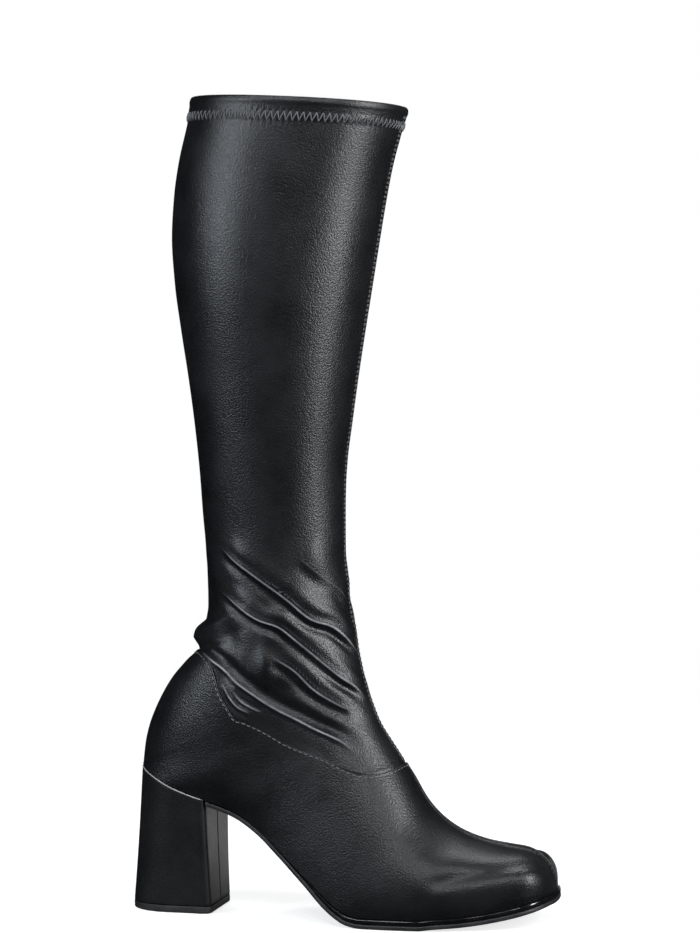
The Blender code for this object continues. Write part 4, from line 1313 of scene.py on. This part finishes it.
def build_hem_stitch(shown, normals, from_collar):
    """Zigzag thread of the hem. Its corners dip into the leather."""
    above = from_collar[SHAFT_ROWS] - from_collar
    girth = arcs_across(shown, 0)[SHAFT_ROWS]
    turns = int(np.round(girth[-1] / ZIGZAG_PITCH))
    numbers = np.arange(SHAFT_ROWS, len(above))
    low, high = (np.interp(height, above[SHAFT_ROWS:, 0], numbers) for height in (ZIGZAG_LOW, ZIGZAG_HIGH))
    paths = []
    for k in range(2 * turns):
        place = (k + LEG_SHARES) / (2.0 * turns) * girth[-1]
        columns = np.interp(place, girth, np.arange(len(girth)))
        rows = low + (high - low) * (LEG_SHARES if k % 2 == 0 else 1.0 - LEG_SHARES)
        facing = unit(sample(normals, rows, columns))
        paths.append((sample(shown, rows, columns) + facing * LEG_HEIGHTS[:, None], facing))
    stitch = tubes("hem_stitch", paths, ZIGZAG_RADIUS)
    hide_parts("upper")
    return stitch


def curve_beside(shown, normals, distance, first, last):
    """Curve along the rows of a grid at a signed distance from the front line."""
    arc = arcs_across(shown, COLUMNS // 2)
    rows = np.arange(first, last)
    columns = np.array([np.interp(distance, arc[row], np.arange(arc.shape[1])) for row in rows])
    return sample(shown, rows.astype(float), columns), unit(sample(normals, rows.astype(float), columns))


def front_dashes(name, shown, normals, first, last, rise):
    """A row of stitches on each side of the front seam, from one row of the grid to another."""
    paths = []
    for distance in (-FRONT_STITCH_AT, FRONT_STITCH_AT):
        curve, facing = curve_beside(shown, normals, distance, first, last)
        paths += dashes(curve, facing, FRONT_STITCH_PITCH, FRONT_STITCH_LENGTH, rise)
    return tubes(name, paths, THREAD_RADIUS)


def build_seam_stitches(panel, panel_normals, shaft, shaft_normals):
    last = SHAFT_ROWS + HEM_ROWS - 1
    front = front_dashes("front_stitch", shaft, shaft_normals, FRONT_FIRST_ROW, last, FRONT_STITCH_RISE)
    last = len(panel) - VAMP_LEFT_ROWS
    vamp = front_dashes("vamp_stitch", panel, panel_normals, VAMP_FIRST_ROW, last, VAMP_STITCH_RISE)
    from_edge = running_length(np.linalg.norm(np.diff(panel[::-1], axis=0), axis=-1))
    columns = np.arange(panel.shape[1] - 1)
    numbers = np.arange(len(panel))[::-1]
    rows = np.array([np.interp(PANEL_STITCH_IN, from_edge[:, column], numbers) for column in columns])
    curve = sample(panel, rows, columns.astype(float))
    facing = unit(sample(panel_normals, rows, columns.astype(float)))
    paths = dashes(curve, facing, PANEL_STITCH_PITCH, PANEL_STITCH_LENGTH, PANEL_STITCH_RISE)
    edge = tubes("panel_stitch", paths, THREAD_RADIUS)
    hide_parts("upper")
    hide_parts("upper")
    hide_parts("upper")
    return front, vamp, edge


# Scales of the shaders' noises. Those of the pores and the stretch lines are shares of the grain's.
PORES = 3.1
STRETCH = 0.28
CLOUDS = 38.0
BROAD_CLOUDS = 11.0
HIGHLIGHT_BREAKUP = 260.0
TWIST = 2400.0
KNIT = 1500.0
PATCHES = 45.0
PEEL = 620.0
DUST = 70.0
BRUSH_LINES = 900.0

# Leather: dark and light colour, roughness, grain, its depth and the colour of the painted highlight along
# the crease crests
LEATHERS = {
    "boot_leather": (
        (0.0018, 0.0020, 0.0025), (0.0095, 0.0100, 0.0115), 0.36, 1150.0, 0.12 * MM, (0.30, 0.31, 0.325),
    ),
    "heel_cover": ((0.0035, 0.0037, 0.0042), (0.0090, 0.0094, 0.0106), 0.42, 1050.0, 0.06 * MM, None),
}
# Thread: colour and roughness. The hem and seam threads are grey, lighter than the black thread, to paint its
# glints; dark_thread is that black thread without them
THREADS = {
    "hem_thread_painted_glint": ((0.095, 0.10, 0.108), 0.34),
    "seam_thread_painted_glint": ((0.15, 0.15, 0.155), 0.42),
    "dark_thread": ((0.03, 0.03, 0.032), 0.45),
}
CLOTHS = {"backing_cloth": (0.030, 0.030, 0.034), "sock_cloth": (0.10, 0.09, 0.08)}
# Moulded rubber and plastic: dark and light colour, roughness, depth of the peel, scuff and coat
MOULDED = {
    "sole_rubber": ((0.010, 0.010, 0.011), (0.020, 0.020, 0.021), 0.40, 0.10 * MM, 0.2, 0.0),
    "rand_gloss": ((0.003, 0.003, 0.0035), (0.006, 0.006, 0.0065), 0.14, 0.03 * MM, 0.10, 0.3),
    # Bead on the heel's top rim: its pale grey is a painted highlight along that rim
    "seat_edge_painted_highlight": ((0.34, 0.33, 0.32), (0.22, 0.22, 0.21), 0.35, 0.04 * MM, 0.1, 0.0),
    "top_piece_rubber": ((0.012, 0.012, 0.013), (0.03, 0.03, 0.03), 0.5, 0.12 * MM, 0.2, 0.0),
}


def start_material(name):
    material = bpy.data.materials.new(name)
    material.use_nodes = True
    return material, material.node_tree


def feed(tree, socket, value):
    """Links what another node gives, or sets a plain number or colour."""
    if isinstance(value, bpy.types.NodeSocket):
        tree.links.new(value, socket)
    elif isinstance(value, tuple):
        socket.default_value = (*value, 1.0)
    else:
        socket.default_value = value


def set_shader(tree, values):
    inputs = tree.nodes["Principled BSDF"].inputs
    for name, value in values.items():
        feed(tree, inputs[name], value)


def add_node(tree, kind, **values):
    made = tree.nodes.new(kind)
    for key, value in values.items():
        setattr(made, key, value)
    return made


def object_place(tree, scale=(1.0, 1.0, 1.0), turn=(0.0, 0.0, 0.0)):
    place = add_node(tree, "ShaderNodeTexCoord")
    mapping = add_node(tree, "ShaderNodeMapping")
    mapping.inputs["Scale"].default_value = scale
    mapping.inputs["Rotation"].default_value = turn
    tree.links.new(place.outputs["Object"], mapping.inputs["Vector"])
    return mapping.outputs["Vector"]


def noise(tree, place, scale, detail=2.0, rough=0.5):
    made = add_node(tree, "ShaderNodeTexNoise")
    made.inputs["Scale"].default_value = scale
    made.inputs["Detail"].default_value = detail
    made.inputs["Roughness"].default_value = rough
    tree.links.new(place, made.inputs["Vector"])
    return made.outputs["Fac"]


def cells(tree, place, scale, soft=0.6):
    made = add_node(tree, "ShaderNodeTexVoronoi", feature="SMOOTH_F1")
    made.inputs["Scale"].default_value = scale
    made.inputs["Smoothness"].default_value = soft
    tree.links.new(place, made.inputs["Vector"])
    return made.outputs["Distance"]


def spread(tree, value, low, high, to_low, to_high):
    made = add_node(tree, "ShaderNodeMapRange")
    for key, number in zip(("From Min", "From Max", "To Min", "To Max"), (low, high, to_low, to_high)):
        made.inputs[key].default_value = number
    tree.links.new(value, made.inputs["Value"])
    return made.outputs["Result"]


def maths(tree, operation, first, second):
    made = add_node(tree, "ShaderNodeMath", operation=operation)
    feed(tree, made.inputs[0], first)
    feed(tree, made.inputs[1], second)
    return made.outputs["Value"]


def blend(tree, factor, first, second):
    made = add_node(tree, "ShaderNodeMix", data_type="RGBA")
    feed(tree, made.inputs["A"], first)
    feed(tree, made.inputs["B"], second)
    feed(tree, made.inputs["Factor"], factor)
    return made.outputs["Result"]


def bump(tree, height, depth, strength=1.0, before=None):
    made = add_node(tree, "ShaderNodeBump")
    made.inputs["Strength"].default_value = strength
    made.inputs["Distance"].default_value = depth
    tree.links.new(height, made.inputs["Height"])
    if before is not None:
        tree.links.new(before, made.inputs["Normal"])
    return made.outputs["Normal"]


def leather(name):
    """Fine-grained coated leather cloth: pebbles, finer pores, soft creases of stretch, uneven gloss, and,
    where a colour is given, a painted highlight along the crease crests.
    """
    dark, light, rough, grain, depth, painted_crest_highlight = LEATHERS[name]
    material, tree = start_material(name)
    place = object_place(tree)
    slanted = object_place(tree, scale=(1.0, 1.0, 2.6), turn=(0.0, 0.5, 0.0))
    pebbles = spread(tree, cells(tree, place, grain), 0.0, 0.75, 1.0, 0.0)
    pores = noise(tree, place, grain * PORES)
    stretch = noise(tree, slanted, grain * STRETCH, 3.0, 0.6)
    cloudy = noise(tree, place, CLOUDS, 3.0, 0.6)
    broad = noise(tree, place, BROAD_CLOUDS)
    normal = bump(tree, stretch, depth * 1.2, 0.22)
    normal = bump(tree, pebbles, depth, 1.0, normal)
    normal = bump(tree, pores, depth * 0.55, 0.7, normal)
    clouds = spread(tree, cloudy, 0.3, 0.7, 0.0, 1.0)
    tone = maths(tree, "MULTIPLY", clouds, spread(tree, pores, 0.35, 0.65, 0.0, 1.0))
    color = blend(tree, tone, dark, light)
    if painted_crest_highlight is not None:
        # Painted highlight: a lighter colour along the crease crests, broken up by noise
        layers = ("crest_gap", "crest_highlight_level")
        nodes = [add_node(tree, "ShaderNodeAttribute", attribute_name=layer) for layer in layers]
        gap, strength = (node.outputs["Fac"] for node in nodes)
        away = maths(tree, "ABSOLUTE", maths(tree, "ADD", gap, HIGHLIGHT_AT), 0.0)
        line = spread(tree, away, 0.0, HIGHLIGHT_WIDTH, 1.0, 0.0)
        uneven = spread(tree, noise(tree, place, HIGHLIGHT_BREAKUP), 0.3, 0.7, 0.55, 1.0)
        painted_highlight = maths(tree, "MULTIPLY", maths(tree, "MULTIPLY", line, strength), uneven)
        color = blend(tree, painted_highlight, color, painted_crest_highlight)
    gloss = spread(tree, broad, 0.3, 0.7, -0.035, 0.035)
    gloss = maths(tree, "ADD", gloss, spread(tree, cloudy, 0.3, 0.7, -0.02, 0.03))
    gloss = maths(tree, "ADD", gloss, spread(tree, pores, 0.3, 0.7, 0.08, -0.06))
    rough = maths(tree, "ADD", gloss, rough)
    set_shader(tree, {"Normal": normal, "Base Color": color, "Roughness": rough})
    return material


def thread(name):
    color, rough = THREADS[name]
    material, tree = start_material(name)
    twist = noise(tree, object_place(tree), TWIST, 1.0)
    tone = blend(tree, twist, tuple(0.7 * c for c in color), color)
    normal = bump(tree, twist, 0.08 * MM, 0.7)
    set_shader(tree, {"Normal": normal, "Base Color": tone, "Roughness": rough})
    return material


def cloth(name):
    """Napped knit backing of the stretch leather cloth."""
    color = CLOTHS[name]
    material, tree = start_material(name)
    knit = noise(tree, object_place(tree, scale=(1.0, 1.0, 0.5)), KNIT)
    patch = spread(tree, noise(tree, object_place(tree), PATCHES, 3.0), 0.3, 0.7, 0.75, 1.0)
    tone = maths(tree, "MULTIPLY", spread(tree, knit, 0.3, 0.7, 0.5, 1.0), patch)
    tone = blend(tree, tone, tuple(0.4 * c for c in color), color)
    normal = bump(tree, knit, 0.12 * MM, 0.8)
    set_shader(tree, {"Normal": normal, "Base Color": tone, "Roughness": 0.88, "Sheen Weight": 0.25})
    return material


def moulded(name):
    """Smooth moulded rubber or plastic with a faint orange peel, dust and scuffed spots."""
    dark, light, rough, depth, scuff, coat = MOULDED[name]
    material, tree = start_material(name)
    place = object_place(tree)
    peel = noise(tree, place, PEEL)
    dust = noise(tree, place, DUST, 4.0, 0.65)
    lines = noise(tree, object_place(tree, scale=(0.12, 1.0, 1.0)), BRUSH_LINES)
    normal = bump(tree, peel, depth, 0.6, bump(tree, lines, depth * 0.5, 0.4))
    color = blend(tree, spread(tree, dust, 0.42, 0.75, 0.0, 1.0), dark, light)
    rough = spread(tree, dust, 0.35, 0.75, rough, rough + scuff)
    set_shader(tree, {"Normal": normal, "Base Color": color, "Roughness": rough})
    set_shader(tree, {"Coat Weight": coat, "Coat Roughness": 0.12})
    return material


def dress(material, slot, *pieces):
    for piece in pieces:
        piece.data.materials.clear()
        piece.data.materials.append(material)


# Studio
CAMERA_PLACE = (0.4749, -1.5670, 0.3135)
CAMERA_AIM = (0.1022, 0.0, 0.2556)
LENS = 109.33
SENSOR = 36.0
FLOOR_RADIUS = 5.0
FLOOR_BELOW = 0.0002
DOME_RADIUS = 4.9
FLOOR_FADE = (0.25, 1.1)
FLOOR_GREY = (0.55, 0.55, 0.55)
BLACK = (0.0, 0.0, 0.0)
WORLD_COLOR = (0.9, 0.95, 1.0, 1.0)
BACKGROUND_GLOW = 1.0
FLOOR_GLOW = 0.72
WORLD_LEVEL = 0.006
LIGHT_COLUMNS = ("name", "place", "aim", "wide", "tall", "watts", "color")
LIGHTS = (
    ("left_box", (-0.88, -0.96, 0.69), (0.05, 0.0, 0.36), 0.34, 0.76, 11.5, (0.84, 0.92, 1.0)),
    ("right_box", (1.25, -0.34, 0.58), (0.06, 0.0, 0.30), 0.22, 0.94, 18.5, (0.97, 0.98, 1.0)),
    ("fold_box", (-0.18, -1.15, 1.35), (0.06, 0.0, 0.16), 0.50, 0.32, 7.5, (0.95, 0.98, 1.0)),
    ("top_box", (0.14, 0.62, 1.50), (0.12, 0.0, 0.06), 0.95, 0.60, 9.5, (0.96, 0.98, 1.0)),
    ("toe_box", (0.62, -1.05, 0.98), (0.19, 0.0, 0.05), 0.36, 0.24, 4.6, (0.96, 0.98, 1.0)),
    ("breast_box", (0.13, 0.36, 0.012), (0.03, 0.0, 0.04), 0.26, 0.10, 0.09, (1.0, 1.0, 1.0)),
    ("back_box", (-0.30, 1.00, 1.70), (0.06, 0.0, 0.25), 0.50, 0.50, 2.0, (1.0, 1.0, 1.0)),
)


def pale(name, color, glow):
    """Paper of the studio: no gloss, and light of its own."""
    material, tree = start_material(name)
    set_shader(tree, {"Base Color": color, "Roughness": 0.9, "Specular IOR Level": 0.0})
    set_shader(tree, {"Emission Color": (1.0, 1.0, 1.0), "Emission Strength": glow})
    return material


def floor_paper():
    """Pale paper that shows the contact shadow near the boot and meets the backdrop's white far away."""
    material = pale("floor_paper", BLACK, FLOOR_GLOW)
    tree = material.node_tree
    far = add_node(tree, "ShaderNodeVectorMath", operation="LENGTH")
    tree.links.new(object_place(tree), far.inputs[0])
    reach = spread(tree, far.outputs["Value"], *FLOOR_FADE, 0.0, 1.0)
    color = blend(tree, reach, FLOOR_GREY, BLACK)
    glow = spread(tree, reach, 0.0, 1.0, FLOOR_GLOW, BACKGROUND_GLOW)
    set_shader(tree, {"Base Color": color, "Emission Strength": glow})
    return material


def aim(thing, place, target):
    thing.location = place
    thing.rotation_euler = (Vector(target) - Vector(place)).to_track_quat("-Z", "Y").to_euler()
    bpy.context.scene.collection.objects.link(thing)


def build_stage():
    spot = (0.0, 0.0, -FLOOR_BELOW)
    bpy.ops.mesh.primitive_circle_add(vertices=96, radius=FLOOR_RADIUS, fill_type="NGON", location=spot)
    floor = bpy.context.object
    floor.name = "floor"
    floor.data.materials.append(floor_paper())
    bpy.ops.mesh.primitive_uv_sphere_add(segments=64, ring_count=32, radius=DOME_RADIUS)
    dome = bpy.context.object
    dome.name = "backdrop"
    dome.data.materials.append(pale("backdrop_paper", BLACK, BACKGROUND_GLOW))
    for hidden in ("visible_glossy", "visible_diffuse", "visible_shadow"):
        setattr(dome, hidden, False)
    floor.visible_glossy = False
    world = bpy.data.worlds.new("studio")
    bpy.context.scene.world = world
    world.use_nodes = True
    background = world.node_tree.nodes["Background"]
    background.inputs["Color"].default_value = WORLD_COLOR
    background.inputs["Strength"].default_value = WORLD_LEVEL
    for row in LIGHTS:
        values = dict(zip(LIGHT_COLUMNS, row))
        lamp = bpy.data.lights.new(values["name"], "AREA")
        lamp.shape = "RECTANGLE"
        lamp.size = values["wide"]
        lamp.size_y = values["tall"]
        lamp.energy = values["watts"]
        lamp.color = values["color"]
        light = bpy.data.objects.new(values["name"], lamp)
        light.visible_camera = False
        aim(light, values["place"], values["aim"])
    camera = bpy.data.objects.new("camera", bpy.data.cameras.new("camera"))
    camera.data.lens = LENS
    camera.data.sensor_width = SENSOR
    camera.data.clip_end = 20.0
    aim(camera, CAMERA_PLACE, CAMERA_AIM)
    bpy.context.scene.camera = camera
    bpy.context.scene.view_settings.view_transform = "Standard"


def main():
    panel, panel_shown, panel_normals = build_panel()
    shaft, shaft_shown, shaft_normals, from_collar = build_shaft()
    lining = build_lining()
    hem_stitch = build_hem_stitch(shaft_shown, shaft_normals, from_collar)
    stitches = build_seam_stitches(panel_shown, panel_normals, shaft_shown, shaft_normals)
    front_stitch, vamp_stitch, panel_stitch = stitches
    start = BREAST + BREAST_CLEARANCE
    rounds = (OUTSOLE_LOW_ROUND, OUTSOLE_HIGH_ROUND)
    outsole = build_sole_layer("sole", start, OUTSOLE_THICKNESS, rounds, sole_margin, sole_under, outsole_top)
    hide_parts("outsole")
    start = MIDSOLE_START
    rounds = (MIDSOLE_LOW_ROUND, MIDSOLE_HIGH_ROUND)
    faces = (midsole_bottom, midsole_top)
    rand = build_sole_layer("rand", start, MIDSOLE_THICKNESS, rounds, sole_margin, *faces)
    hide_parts("midsole")
    start = x_of(0.0)
    sock = build_sole_layer("sock", start, INSOLE_THICKNESS, SOCK_ROUNDS, insole_margin, feather, insole_top)
    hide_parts("insole")
    heel, bead = build_heel()
    tip = build_heel_tip()
    dress(leather("boot_leather"), "upper", panel, shaft)
    dress(cloth("backing_cloth"), "upper", lining)
    # The grey hem and seam threads paint the glints of the black thread
    dress(thread("hem_thread_painted_glint"), "upper", hem_stitch)
    dress(thread("seam_thread_painted_glint"), "upper", front_stitch, panel_stitch)
    dress(thread("dark_thread"), "upper", vamp_stitch)
    dress(cloth("sock_cloth"), "insole", sock)
    dress(moulded("sole_rubber"), "outsole", outsole)
    dress(moulded("rand_gloss"), "midsole", rand)
    dress(leather("heel_cover"), "heel", heel)
    dress(moulded("seat_edge_painted_highlight"), "heel", bead)
    dress(moulded("top_piece_rubber"), "heel_tip", tip)
    build_stage()


main()
